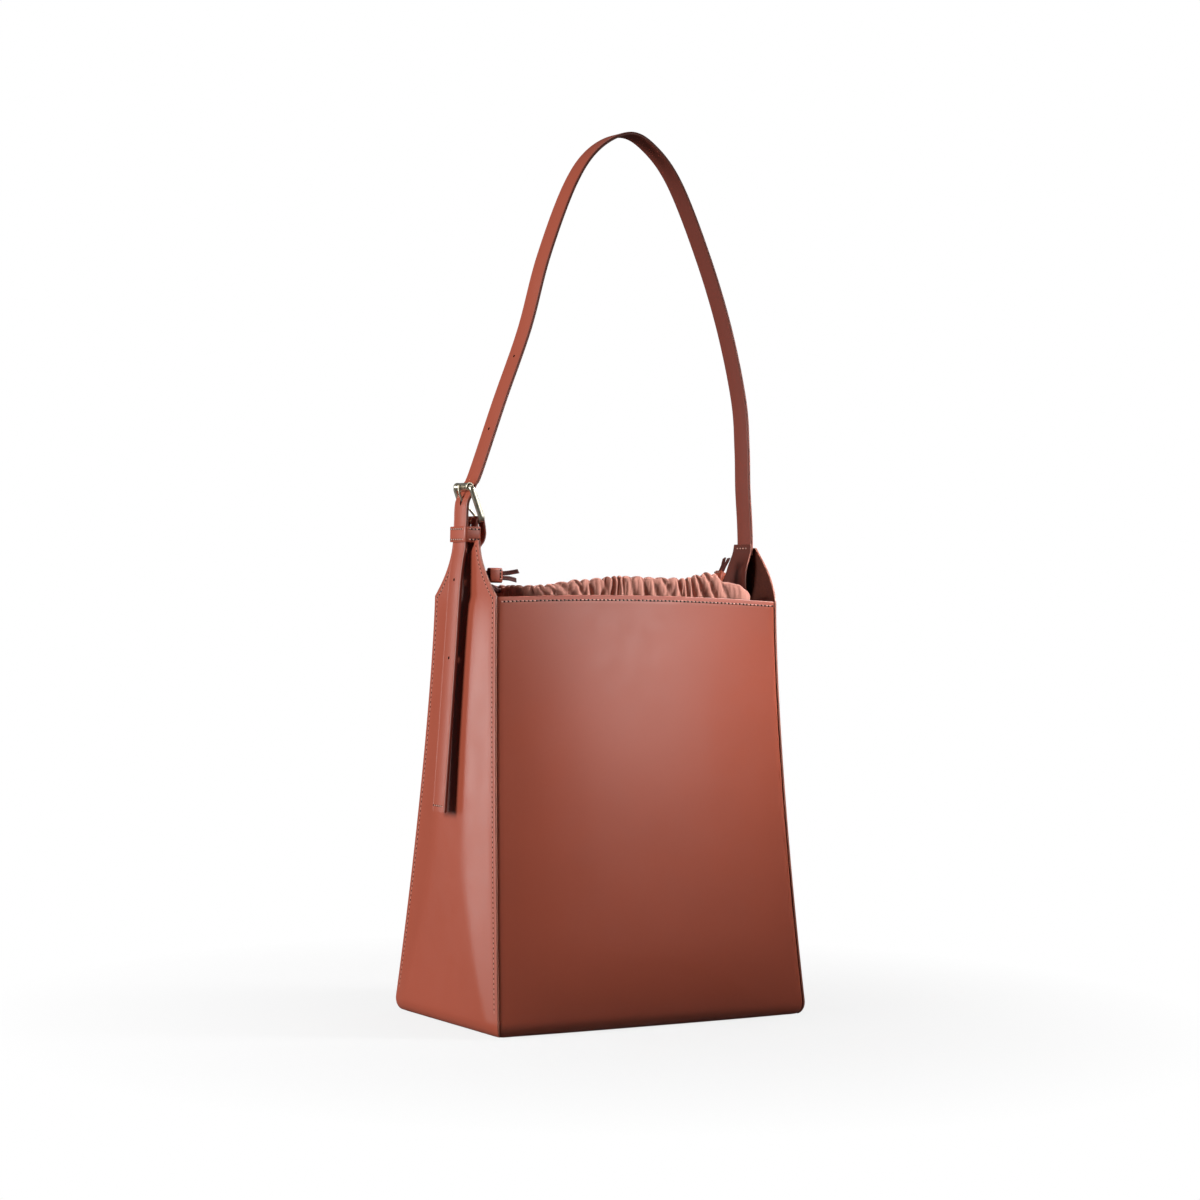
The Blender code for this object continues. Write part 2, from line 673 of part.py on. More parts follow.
def strap():
    route = smooth_route(STRAP_ROUTE, STRAP_STEP)
    near_buckle = [p for p in smooth_route(STRAP_ROUTE, 0.003) if p.x < -0.115 and p.y < 0.412]
    route = [p for p in route if not (p.x < -0.115 and p.y < 0.414)] + near_buckle
    shoulder = band("shoulder_strap", route, STRAP_W, STRAP_T, "leather")
    for n, spot in enumerate(STRAP_HOLES):
        cut(shoulder, f"strap_hole_{n}", hole_matrix(spot, route), HOLE_R, HOLE_R, 0.01, 10)
    cut(shoulder, "prong_hole", hole_matrix(PRONG_HOLE, route), *PRONG_HOLE_HALF, 0.008)

    tail_route = smooth_route(TAIL_ROUTE, 0.013)
    pivot = (TAIL_ROUTE[0][0] - STRAP_T / 2, 0, TAIL_ROUTE[0][1])
    tail = band("strap_tail", tail_route, STRAP_W, STRAP_T, "leather", origin=pivot)
    for n, spot in enumerate(TAIL_HOLES):
        cut(tail, f"tail_hole_{n}", hole_matrix(spot, tail_route), HOLE_R, HOLE_R, 0.01, 10)


clear_scene()
shell()
pouch()
pouch_hem()
drawcords()
buckle_frame()
buckle_roller()
buckle_prong()
buckle_loop()
keeper()
strap()
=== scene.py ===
"""The looks of the bucket bag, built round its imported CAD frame. Metres, +Z up."""

from math import asin, atan2, copysign, cos, dist, exp, pi, radians, sin, sqrt

import bmesh
import bpy
from mathutils import Matrix, Vector, noise


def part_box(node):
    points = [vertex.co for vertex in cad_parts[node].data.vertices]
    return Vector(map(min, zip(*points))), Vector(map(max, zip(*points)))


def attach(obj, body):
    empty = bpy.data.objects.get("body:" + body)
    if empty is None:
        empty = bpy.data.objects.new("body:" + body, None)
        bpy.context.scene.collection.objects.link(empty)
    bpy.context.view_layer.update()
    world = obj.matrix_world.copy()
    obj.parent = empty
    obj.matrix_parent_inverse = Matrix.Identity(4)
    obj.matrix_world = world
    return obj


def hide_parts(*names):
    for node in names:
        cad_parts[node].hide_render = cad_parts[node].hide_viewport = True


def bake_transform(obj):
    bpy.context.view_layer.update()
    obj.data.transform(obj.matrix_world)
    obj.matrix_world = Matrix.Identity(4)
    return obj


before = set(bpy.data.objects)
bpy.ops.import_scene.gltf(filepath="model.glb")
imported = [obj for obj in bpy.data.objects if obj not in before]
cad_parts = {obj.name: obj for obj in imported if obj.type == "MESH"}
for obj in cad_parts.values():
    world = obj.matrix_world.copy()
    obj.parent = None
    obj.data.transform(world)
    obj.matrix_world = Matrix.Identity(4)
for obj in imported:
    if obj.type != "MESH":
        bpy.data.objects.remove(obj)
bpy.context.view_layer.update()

# The shell's shape, as the frame has it
HEIGHT = 0.316
TOP_ARCH = 0.003
TOP_HALF_W = 0.1255
BASE_HALF_W = 0.1365
TOP_HALF_D = 0.046
BASE_HALF_D = 0.0795
FLARE_POWER = 1.45
FOOT_HIGH = 0.011  # the rounding under the lower edges
FOOT_IN = 0.006
FOOT_TURN = radians(78)
RIM_LEVEL = HEIGHT - FOOT_HIGH
LEATHER = 0.0018
FACING = 0.0012
GAP = 0.0003
FACING_DROP = 0.030
SEAM_INSET = 0.0040  # from a leather edge to its row of stitches
HEM_INSET = 0.0036  # the stitches under the front's and the back's rim
FRONT_BULGE = 0.0120
BACK_BULGE = 0.0090
BELLY_Z = 0.060  # where the big panels stand out most
GUSSET_BULGE = 0.0050

# The tabs
LEFT_TAB_HALF = 0.0195
LEFT_TAB_TOP = 0.3575
RIGHT_TAB_HALF = 0.0105
RIGHT_TAB_TOP = 0.358
RIGHT_TAB_LEAN = 0.0055
TAPER_RISE = 0.042
SWING_Z = 0.362
KEEPER_SWEEP = 0.0150
KEEPER_DIP = 0.338  # the heights the two arcs are stretched from
LOOP_SWEEP = 0.0195
LOOP_DIP = 0.331

# Strap, buckle and keeper
STRAP_W = 0.019
STRAP_T = 0.0024
STRAP_ROUTE = [
    (0.1272, 0.3522), (0.1272, 0.3620), (0.1262, 0.3795), (0.1240, 0.4050), (0.1226, 0.4360),
    (0.1186, 0.4740), (0.1035, 0.5296), (0.0820, 0.5844), (0.0547, 0.6381), (0.0310, 0.6636),
    (0.0080, 0.6720), (-0.0192, 0.6584), (-0.0404, 0.6289), (-0.0626, 0.5725), (-0.0780, 0.5173),
    (-0.0985, 0.4622), (-0.1179, 0.4077), (-0.1228, 0.3985), (-0.1248, 0.3930), (-0.1272, 0.3890),
    (-0.1287, 0.3855), (-0.1293, 0.3800), (-0.1294, 0.3720), (-0.1298, 0.3630), (-0.1300, 0.3530),
]
TAIL_ROUTE = [(-0.1300, 0.3527), (-0.1334, 0.3280), (-0.1367, 0.2700), (-0.1435, 0.1570)]
STRAP_HOLES = [(-0.0875, 0.4967), (-0.1069, 0.4409)]
TAIL_HOLES = [(-0.1334, 0.3280), (-0.1367, 0.2703)]
PRONG_HOLE = (-0.1283, 0.3866)
STRAP_SPLIT_Z = 0.3620  # in the keeper, where the strap's piece meets the tail's
BAR = Vector((-0.118, 0.0, 0.372))
ROLLER = Vector((-0.128, 0.0, 0.397))
BAR_RADIUS = 0.0015
ROUND = 20  # points round a wire or a lace

# Pouch
HEM_LEFT = -0.0960
HEM_RIGHT = 0.1165
HEM_MIDDLE = (HEM_LEFT + HEM_RIGHT) / 2
HEM_HALF_W = (HEM_RIGHT - HEM_LEFT) / 2
HEM_HALF_D = 0.0385
HEM_LOW = 0.3130
# The hem's upper edge as (x, z): a crown, one raised fold, then down to the right
HEM_EDGE = [(-0.0960, 0.3235), (-0.0800, 0.3245), (-0.0500, 0.3290), (-0.0100, 0.3325),
            (0.0450, 0.3318), (0.0580, 0.3345), (0.0660, 0.3366), (0.0730, 0.3362),
            (0.0820, 0.3300), (0.0950, 0.3275), (0.1050, 0.3245), (0.1165, 0.3175)]
HEM_THICK = 0.0056
POUCH_INSET = 0.0050
POUCH_THICK = 0.0007
NECK_START = 0.252  # where the pouch begins to narrow
CORNER = 0.022
CLOTH_COUNT = 1000  # points round the pouch
PUFF_PITCH = 0.0094  # from one gather to the next
PUFF_OUT = 0.0036

# Laces and sliders
LACE_WIDE = 0.0034
LACE_THICK = 0.0017
CORD_SIDE = 0.0017
LEFT_OUT = HEM_LEFT - GAP - 0.0001
RIGHT_OUT = HEM_RIGHT - 0.003 - GAP - 0.0001
SLIDER_RIGHT_ALONG = (0.4617, 0.0, 0.8870)
SLIDER_HALF_THICK = 0.0029

# Camera, level with the rim and 32 degrees to the left of the front, and the studio
VIEW_TURN = radians(32)
CAMERA_SPOT = (-1.100, -1.749, 0.315)
CAMERA_ROLL = radians(1.0)
CAMERA_LENS = 81
FILL = 0.05  # brightness all round, away from the lamps
FLOOR_REACH = 0.48

X_AXIS = Vector((1, 0, 0))
Y_AXIS = Vector((0, 1, 0))
LEATHER_RGB = (0.40, 0.086, 0.048)
mats = {}


# ---- camera, lights, floor

def put(name, data):
    """A new object in the scene with the given data."""
    obj = bpy.data.objects.new(name, data)
    bpy.context.scene.collection.objects.link(obj)
    return obj


def make_camera():
    data = bpy.data.cameras.new("camera")
    data.lens = CAMERA_LENS
    camera = put("camera", data)
    turn = Matrix.Rotation(-VIEW_TURN, 4, "Z") @ Matrix.Rotation(pi / 2, 4, "X")
    roll = Matrix.Rotation(CAMERA_ROLL, 4, "Z")
    camera.matrix_world = Matrix.Translation(CAMERA_SPOT) @ turn @ roll
    bpy.context.scene.camera = camera


def softbox(name, spot, aim, width, height, watts, beam=180):
    data = bpy.data.lights.new(name, "AREA")
    data.shape = "RECTANGLE"
    data.size = width
    data.size_y = height
    data.energy = watts
    data.spread = radians(beam)
    lamp = put(name, data)
    lamp.location = spot
    lamp.visible_camera = False
    lamp.rotation_euler = (Vector(aim) - Vector(spot)).to_track_quat("-Z", "Y").to_euler()


def make_light():
    """A white backdrop, dim fill, two small lamps in front and big softboxes round the rest."""
    scene = bpy.context.scene
    scene.view_settings.view_transform = "Standard"
    world = bpy.data.worlds.new("studio")
    world.use_nodes = True
    tree = world.node_tree
    backdrop = tree.nodes["Background"]
    backdrop.inputs["Color"].default_value = (1, 1, 1, 1)
    fill = add(tree, "ShaderNodeBackground", Color=(0.95, 0.92, 0.90, 1.0), Strength=FILL)
    rays = add(tree, "ShaderNodeLightPath")
    choose = add(tree, "ShaderNodeMixShader")
    link(rays.outputs["Is Camera Ray"], choose.inputs[0])
    link(fill.outputs[0], choose.inputs[1])
    link(backdrop.outputs[0], choose.inputs[2])
    link(choose.outputs[0], tree.nodes["World Output"].inputs["Surface"])
    scene.world = world
    softbox("key", (0.92, -0.48, 0.98), (0.12, -0.06, 0.34), 0.26, 0.26, 0.80, 26)
    softbox("front_right", (0.42, -0.70, 0.48), (0, -0.05, 0.29), 0.13, 0.13, 0.85)
    softbox("left", (-2.15, 0.10, 0.75), (-0.1, 0, 0.22), 0.9, 1.1, 45)
    softbox("back_left", (-1.6, 1.35, 0.40), (-0.13, 0, 0.25), 0.34, 0.8, 7)
    softbox("top", (0.0, 0.4, 1.9), (0, 0, 0.25), 1.0, 0.7, 3)
    softbox("right", (1.9, 1.2, 0.9), (0, 0, 0.25), 0.9, 1.0, 10)


def make_floor():
    """Pale paper under the object that fades into the white backdrop."""
    bm = bmesh.new()
    bmesh.ops.create_circle(bm, cap_ends=True, segments=96, radius=FLOOR_REACH)
    mesh = bm_mesh("floor", bm)
    mesh.materials.append(floor_material())
    floor = put("floor", mesh)
    floor.location = (0, 0, -0.0002)


# ---- materials

def start_material(name, rough, metallic=0.0):
    mat = bpy.data.materials.new(name)
    mat.use_nodes = True
    tree = mat.node_tree
    shader = tree.nodes["Principled BSDF"]
    shader.inputs["Roughness"].default_value = rough
    shader.inputs["Metallic"].default_value = metallic
    return mat, tree, shader


def link(source, target):
    target.id_data.links.new(source, target)


def shade(colour, factor):
    return tuple(min(1.0, c * factor) for c in colour)


def add(tree, kind, **values):
    """A node with its own settings and its inputs set by name, _ for a space in an input's."""
    made = tree.nodes.new(kind)
    for key, value in values.items():
        if hasattr(made, key):
            setattr(made, key, value)
        else:
            made.inputs[key.replace("_", " ")].default_value = value
    return made


def object_noise(tree, scale, detail=2.0, rough=0.5, stretch=(1, 1, 1)):
    """Noise in the object's own metres; returns its factor socket."""
    place = add(tree, "ShaderNodeTexCoord")
    mapping = add(tree, "ShaderNodeMapping", Scale=stretch)
    link(place.outputs["Object"], mapping.inputs["Vector"])
    made = add(tree, "ShaderNodeTexNoise", Scale=scale, Detail=detail, Roughness=rough)
    link(mapping.outputs["Vector"], made.inputs["Vector"])
    return made.outputs["Fac"]


def between(tree, factor, low, high, from_low=0.3, from_high=0.7):
    made = add(tree, "ShaderNodeMapRange", From_Min=from_low, From_Max=from_high, To_Min=low,
               To_Max=high)
    link(factor, made.inputs["Value"])
    return made.outputs["Result"]


def mixed(tree, factor, first, second):
    """A colour between two colours; each is a colour or a socket."""
    made = add(tree, "ShaderNodeMix", data_type="RGBA")
    link(factor, made.inputs["Factor"])
    for socket, value in (("A", first), ("B", second)):
        target = [s for s in made.inputs if s.name == socket and s.type == "RGBA"][0]
        if isinstance(value, tuple):
            target.default_value = (*value, 1.0)
        else:
            link(value, target)
    return [s for s in made.outputs if s.type == "RGBA"][0]


def relief(tree, shader, height, strength, distance):
    """Bumps that follow a height pattern."""
    made = add(tree, "ShaderNodeBump", Strength=strength, Distance=distance)
    link(height, made.inputs["Height"])
    link(made.outputs["Normal"], shader.inputs["Normal"])


def leather_material(name, colour, rough=0.31, grain=0.05):
    """Smooth finished leather: fine pebbling, faint mottling, and a soft gloss."""
    mat, tree, shader = start_material(name, rough)
    dark = shade(colour, 0.95)
    cloudy = between(tree, object_noise(tree, 9, 2), 0, 1)
    fine = between(tree, object_noise(tree, 260, 4), 0, 1)
    tone = mixed(tree, cloudy, dark, shade(colour, 1.03))
    speck = mixed(tree, between(tree, fine, 0.0, 0.25, 0, 1), tone, dark)
    link(speck, shader.inputs["Base Color"])
    gloss = between(tree, object_noise(tree, 60, 3), rough - 0.02, rough + 0.03)
    link(gloss, shader.inputs["Roughness"])
    place = add(tree, "ShaderNodeTexCoord")
    cells = add(tree, "ShaderNodeTexVoronoi", Scale=1150.0, feature="SMOOTH_F1")
    link(place.outputs["Object"], cells.inputs["Vector"])
    relief(tree, shader, cells.outputs["Distance"], grain, 0.00012)
    shader.inputs["Specular IOR Level"].default_value = 0.5 if rough < 0.5 else 0.25
    return mat


def rough_material(name, rough, grain, dark, light, strength, distance, gloss=0.5):
    """A material whose tone and relief follow one noise, with a grain of (scale, detail, ...)."""
    mat, tree, shader = start_material(name, rough)
    pattern = object_noise(tree, *grain)
    tone = mixed(tree, between(tree, pattern, 0, 1), dark, light)
    link(tone, shader.inputs["Base Color"])
    relief(tree, shader, pattern, strength, distance)
    shader.inputs["Specular IOR Level"].default_value = gloss
    return mat


def paint_material(name, colour):
    """Edge paint: satin, a little uneven where it was rubbed."""
    return rough_material(name, 0.38, (30, 2), shade(colour, 0.9), colour, 0.05, 0.0003)


# Near-black colour for needle holes and for the walls of punched holes: painted shade where the
# holes are.
def painted_hole_shade_material(name):
    mat, tree, shader = start_material(name, 0.9)
    tone = mixed(tree, object_noise(tree, 900, 2), (0.012, 0.004, 0.003), (0.03, 0.01, 0.007))
    link(tone, shader.inputs["Base Color"])
    return mat


def cloth_material(name, colour):
    """Plain-woven cotton: two crossing sets of threads, slubs, painted shade in the gaps between
    the threads and a soft sheen.
    """
    mat, tree, shader = start_material(name, 0.88)
    place = add(tree, "ShaderNodeTexCoord")
    threads = []
    for run, scale in (("Z", 520.0), ("X", 470.0), ("Y", 470.0)):
        wave = add(tree, "ShaderNodeTexWave", bands_direction=run, Scale=scale, Distortion=0.6,
                   Detail_Scale=3.0)
        link(place.outputs["Object"], wave.inputs["Vector"])
        threads.append(wave.outputs["Fac"])
    warp = add(tree, "ShaderNodeMath", operation="MULTIPLY")
    link(threads[1], warp.inputs[0])
    link(threads[2], warp.inputs[1])
    weave = add(tree, "ShaderNodeMath", operation="ADD")
    link(threads[0], weave.inputs[0])
    link(warp.outputs[0], weave.inputs[1])
    slubs = between(tree, object_noise(tree, 420, 3, 0.6, (1, 1, 0.25)), 0, 1)
    patch = between(tree, object_noise(tree, 30, 2), 0, 1)
    tone = mixed(tree, patch, shade(colour, 0.9), shade(colour, 1.08))
    tone = mixed(tree, between(tree, slubs, 0, 0.35, 0, 1), tone, shade(colour, 0.72))
    # Darker where the weave is low, in the gaps between the threads: painted shade.
    weave_gap_shade = between(tree, weave.outputs[0], 0.22, 0, 0, 1.4)
    tone = mixed(tree, weave_gap_shade, tone, shade(colour, 0.6))
    link(tone, shader.inputs["Base Color"])
    relief(tree, shader, weave.outputs[0], 0.35, 0.00022)
    shader.inputs["Sheen Weight"].default_value = 0.25
    shader.inputs["Sheen Roughness"].default_value = 0.5
    return mat


def brass_material(name):
    """Polished pale brass with slightly dull patches."""
    mat, tree, shader = start_material(name, 0.3, 0.92)
    patch = object_noise(tree, 220, 3)
    tone = mixed(tree, between(tree, patch, 0, 1), (0.70, 0.63, 0.47), (0.84, 0.79, 0.64))
    link(tone, shader.inputs["Base Color"])
    link(between(tree, patch, 0.27, 0.36), shader.inputs["Roughness"])
    return mat


def floor_material():
    """Pale paper near the object, thinning out to nothing further away."""
    mat, tree, shader = start_material("floor_paper", 0.85)
    fibres = object_noise(tree, 900, 3)
    tone = mixed(tree, between(tree, fibres, 0, 1), (0.54, 0.54, 0.54), (0.58, 0.58, 0.58))
    link(tone, shader.inputs["Base Color"])
    shader.inputs["Specular IOR Level"].default_value = 0.1
    place = add(tree, "ShaderNodeTexCoord")
    reach = add(tree, "ShaderNodeVectorMath", operation="LENGTH")
    link(place.outputs["Object"], reach.inputs[0])
    there = between(tree, reach.outputs["Value"], 0.17, 0.0, 0.12, FLOOR_REACH)
    clear = add(tree, "ShaderNodeBsdfTransparent")
    choose = add(tree, "ShaderNodeMixShader")
    link(there, choose.inputs[0])
    link(clear.outputs[0], choose.inputs[1])
    link(shader.outputs[0], choose.inputs[2])
    link(choose.outputs[0], tree.nodes["Material Output"].inputs["Surface"])
    return mat


def make_materials():
    mats["leather"] = leather_material("leather", LEATHER_RGB)
    mats["strap"] = leather_material("strap_leather", shade(LEATHER_RGB, 0.97), 0.40)
    # The inside leather is a darker, duller copy of the leather: painted shade on the facings and
    # the inner leaf, which face into the bag.
    mats["inside"] = leather_material("leather_inside", (0.13, 0.028, 0.017), 0.62)
    # A darker copy of the strap leather for the strap's inner side, under the arch: painted shade.
    mats["strap_underside_painted_shade"] = leather_material("strap_underside_painted_shade", (0.25, 0.056, 0.036), 0.60, 0.0)
    flesh = (0.10, 0.027, 0.017)
    mats["flesh"] = rough_material("leather_flesh", 0.75, (700, 5, 0.65), shade(flesh, 0.75),
                                   shade(flesh, 1.2), 0.35, 0.0003, 0.15)
    mats["paint"] = paint_material("edge_paint", (0.40, 0.130, 0.085))
    # A darker copy of the edge paint for the strap: painted shade on the strap's edges.
    mats["strap_edge"] = paint_material("strap_edge_paint_with_painted_shade", (0.29, 0.080, 0.054))
    mats["thread"] = rough_material("thread", 0.55, (2600, 2), (0.546, 0.28, 0.217),
                                    (0.78, 0.40, 0.31), 0.4, 0.0001)
    # Needle holes and hole walls: near black, painted shade.
    mats["hole"] = painted_hole_shade_material("stitch_holes_painted_shade")
    mats["cloth"] = cloth_material("pouch_cloth", (0.56, 0.22, 0.16))
    mats["lace"] = leather_material("lace", (0.095, 0.026, 0.022), 0.5)
    mats["brass"] = brass_material("pale_brass")
    mats["board"] = rough_material("fibre_board", 0.9, (300, 5, 0.7), (0.24, 0.20, 0.15),
                                   (0.42, 0.36, 0.29), 0.3, 0.0004)


# ---- mesh helpers

def bm_mesh(name, bm):
    mesh = bpy.data.meshes.new(name)
    bm.to_mesh(mesh)
    bm.free()
    return mesh


def mesh_piece(name, verts, faces, kinds, slots=None, closed=True):
    mesh = bpy.data.meshes.new(name)
    mesh.from_pydata([tuple(v) for v in verts], [], faces)
    if slots:
        mesh.polygons.foreach_set("material_index", slots)
    if closed:
        bm = bmesh.new()
        bm.from_mesh(mesh)
        bmesh.ops.recalc_face_normals(bm, faces=bm.faces)
        bm.to_mesh(mesh)
        bm.free()
    mesh.shade_smooth()
    for kind in kinds:
        mesh.materials.append(mats[kind])
    return put(name, mesh)


def place(piece, slot, node, body):
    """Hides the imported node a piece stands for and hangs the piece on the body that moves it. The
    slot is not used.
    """
    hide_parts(node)
    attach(piece, body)


def settle(obj):
    """Turns the modifiers' result into the object's own mesh."""
    graph = bpy.context.evaluated_depsgraph_get()
    mesh = bpy.data.meshes.new_from_object(obj.evaluated_get(graph), depsgraph=graph)
    obj.modifiers.clear()
    obj.data = mesh


def soften(obj, width, angle=50):
    """Rounds the edges that are sharper than an angle."""
    bevel = obj.modifiers.new("soft_edges", "BEVEL")
    bevel.width = width
    bevel.segments = 2
    bevel.limit_method = "ANGLE"
    bevel.angle_limit = radians(angle)
    settle(obj)
    obj.data.shade_smooth()
    obj.data.set_sharp_from_angle(angle=radians(60))
    return obj


def thick_grid(name, point, us, levels, thick, kinds=("leather", "flesh", "paint"), edge=0.0004):
    """A sheet with its face at point(u, level, 0), its back at a thickness, and a painted rim."""
    rows = len(levels)
    cols = len(us)
    verts = [point(u, level, depth) for depth in (0.0, thick) for level in levels for u in us]
    back = rows * cols
    faces = []
    slots = []
    for r in range(rows - 1):
        for c in range(cols - 1):
            a = r * cols + c
            quad = (a, a + 1, a + cols + 1, a + cols)
            faces += [quad, tuple(back + i for i in reversed(quad))]
            slots += [0, 1]
    rim = list(range(cols))
    rim += [r * cols + cols - 1 for r in range(1, rows)]
    rim += [(rows - 1) * cols + c for c in range(cols - 2, -1, -1)]
    rim += [r * cols for r in range(rows - 2, 0, -1)]
    for i, a in enumerate(rim):
        b = rim[(i + 1) % len(rim)]
        faces.append((b, a, back + a, back + b))
        slots.append(2)
    obj = mesh_piece(name, verts, faces, kinds, slots)
    return soften(obj, edge)


def ring_faces(rings, count, joined=False):
    """Faces between rings of equal counts, the last one joined to the first if asked."""
    faces = []
    for r in range(rings if joined else rings - 1):
        here = r * count
        there = (r + 1) % rings * count
        for i in range(count):
            j = (i + 1) % count
            faces.append((here + i, here + j, there + j, there + i))
    return faces


def capped_faces(rings, count):
    caps = [tuple(reversed(range(count))), tuple(range((rings - 1) * count, rings * count))]
    return ring_faces(rings, count) + caps


def ring_skin(name, rings, kinds, joined=False, edge=0.0, angle=50):
    """A skin over rings of equal counts, capped at both ends or joined end to start."""
    count = len(rings[0])
    faces = ring_faces(len(rings), count, True) if joined else capped_faces(len(rings), count)
    obj = mesh_piece(name, [p for ring in rings for p in ring], faces, kinds)
    if edge:
        soften(obj, edge, angle)
    return obj


def distances(points):
    """How far along a line of points each of them is."""
    found = [0.0]
    for p, q in zip(points, points[1:]):
        found.append(found[-1] + dist(p, q))
    return found


def stations(lengths, wants):
    """For each wanted distance along a line, the span it falls in and its share of that span."""
    k = 0
    for want in wants:
        while k < len(lengths) - 2 and lengths[k + 1] < want:
            k += 1
        yield k, (want - lengths[k]) / max(1e-9, lengths[k + 1] - lengths[k])


def smooth_route(points, step):
    """Evenly spaced points on a Catmull-Rom curve through the given points."""
    pts = [Vector(p) for p in points]
    ends = [2 * pts[0] - pts[1]] + pts + [2 * pts[-1] - pts[-2]]
    fine = []
    for a, b, c, d in zip(ends, ends[1:], ends[2:], ends[3:]):
        for k in range(24):
            t = k / 24
            fine.append(0.5 * (2 * b + (c - a) * t + (2 * a - 5 * b + 4 * c - d) * t * t
                               + (3 * b - a - 3 * c + d) * t ** 3))
    fine.append(pts[-1])
    lengths = distances(fine)
    count = max(2, round(lengths[-1] / step))
    wants = [lengths[-1] * n / count for n in range(count + 1)]
    return [fine[k].lerp(fine[k + 1], t) for k, t in stations(lengths, wants)]


def heading(route, i):
    """Which way an open route runs at its point i."""
    return (route[min(i + 1, len(route) - 1)] - route[max(i - 1, 0)]).normalized()


def signed(value, power):
    """A power of a value's size that keeps its sign."""
    return copysign(abs(value) ** power, value)


def carve(obj, bm, kind, where):
    """Cuts a bmesh's shape out of a piece, leaving walls of the named material."""
    mesh = bm_mesh("cutter", bm)
    mesh.materials.append(mats[kind])
    cutter = put("cutter", mesh)
    cutter.matrix_world = where
    boolean = obj.modifiers.new("cut", "BOOLEAN")
    boolean.operation = "DIFFERENCE"
    boolean.solver = "EXACT"
    boolean.material_mode = "TRANSFER"
    boolean.object = cutter
    bpy.context.view_layer.update()
    settle(obj)
    bpy.data.objects.remove(cutter)
    obj.data.shade_smooth()
    obj.data.set_sharp_from_angle(angle=radians(45))


def rounded_outline(half_a, half_b, radius, per_corner):
    outline = []
    for k, (sa, sb) in enumerate([(1, 1), (-1, 1), (-1, -1), (1, -1)]):
        for n in range(per_corner + 1):
            angle = pi / 2 * (k + n / per_corner)
            outline.append((sa * (half_a - radius) + radius * cos(angle),
                            sb * (half_b - radius) + radius * sin(angle)))
    return outline


# ---- stitches

class Seam:
    """A row of stitches with their needle holes, the holes painted as near-black disks of shade,
    gathered into one piece.
    """

    def __init__(self):
        self.verts = []
        self.faces = []
        self.slots = []

    def lump(self, spot, along, out, profile, slot):
        """A small closed body: rings of (along, out, half width, half height) offsets."""
        sides = 6
        across = along.cross(out)
        start = len(self.verts)
        for shift, lift, wide, high in profile:
            for k in range(sides):
                angle = 2 * pi * k / sides
                self.verts.append(spot + along * shift + out * (lift + high * sin(angle))
                                  + across * wide * cos(angle))
        faces = capped_faces(len(profile), sides)
        self.faces += [tuple(start + k for k in face) for face in faces]
        self.slots += [slot] * len(faces)

    def stitch(self, spot, along, out, length, thick):
        half = length / 2
        end = (-thick * 0.7, thick * 0.45, thick * 0.3)
        waist = (thick * 0.05, thick * 0.9, thick * 0.6)
        profile = [(-half, *end), (-half * 0.72, *waist), (0, thick * 0.28, thick, thick * 0.7),
                   (half * 0.72, *waist), (half, *end)]
        self.lump(spot, along, out, profile, 0)

    def hole(self, spot, along, out, radius):
        # A flat near-black disk on the surface: painted shade in place of a real hole.
        end = (0, radius * 0.3, 0.00003)
        full = (0.00002, radius * 0.8, 0.00006)
        profile = [(-radius, *end), (-radius * 0.6, *full), (radius * 0.6, *full), (radius, *end)]
        self.lump(spot, along, out, profile, 1)

    def row(self, surface, start, end, pitch, thick=0.00050, hole=0.00085):
        """Slightly slanted stitches along surface(t), which gives a point and its normal."""
        samples = [surface(start + (end - start) * k / 160) for k in range(161)]
        lengths = distances([p for p, _ in samples])
        count = max(1, round(lengths[-1] / pitch))
        step = lengths[-1] / count
        for k, t in stations(lengths, [(n + 0.5) * step for n in range(count)]):
            (p, out), (q, _) = samples[k], samples[k + 1]
            along = (q - p).normalized()
            spot = p.lerp(q, t)
            out = (out - along * out.dot(along)).normalized()
            lean = (along + along.cross(out) * 0.10).normalized()
            self.stitch(spot, lean, out, step * 0.66, thick)
            self.hole(spot + along * step / 2, along, out, hole)

    def piece(self, name, body):
        obj = mesh_piece(name, self.verts, self.faces, ("thread", "hole"), self.slots)
        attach(obj, body)


def with_normal(surface):
    """Makes surface(u, v) -> point into one that also gives its normal."""
    def found(u, v, sign=1):
        p = surface(u, v)
        du = surface(u + 1e-3, v) - p
        dv = surface(u, v + 1e-3) - p
        return p, du.cross(dv).normalized() * sign
    return found


# ---- the shell

def flare(z):
    return max(0.0, (HEIGHT - z) / HEIGHT) ** FLARE_POWER


def half_width(z):
    return TOP_HALF_W + (BASE_HALF_W - TOP_HALF_W) * flare(z)


def half_depth(z):
    return TOP_HALF_D + (BASE_HALF_D - TOP_HALF_D) * flare(z)


def ripple(x, z, seed):
    """The slow unevenness of a real leather panel."""
    return 0.00025 * noise.noise(Vector((x * 9.0, z * 9.0, seed)))


def foot(level, depth):
    """(z, inset) on a wall at a depth under its face.

    From 0 up a level is a height over the foot; below 0 it is an angle round the foot."""
    if level >= 0:
        return FOOT_HIGH + level, depth
    low = FOOT_HIGH - (FOOT_HIGH - depth) * sin(-level)
    return low, FOOT_IN - (FOOT_IN - depth) * cos(level)


def belly(z):
    """The big panels stand out most just over the foot and flatten towards the rim."""
    if z < BELLY_Z:
        return sqrt(1 - min(1.0, (BELLY_Z - z) / BELLY_Z * 0.985) ** 2)
    return 1 - ((z - BELLY_Z) / (HEIGHT - BELLY_Z)) ** 1.3


def smooth(t):
    t = min(1.0, max(0.0, t))
    return t * t * (3 - 2 * t)


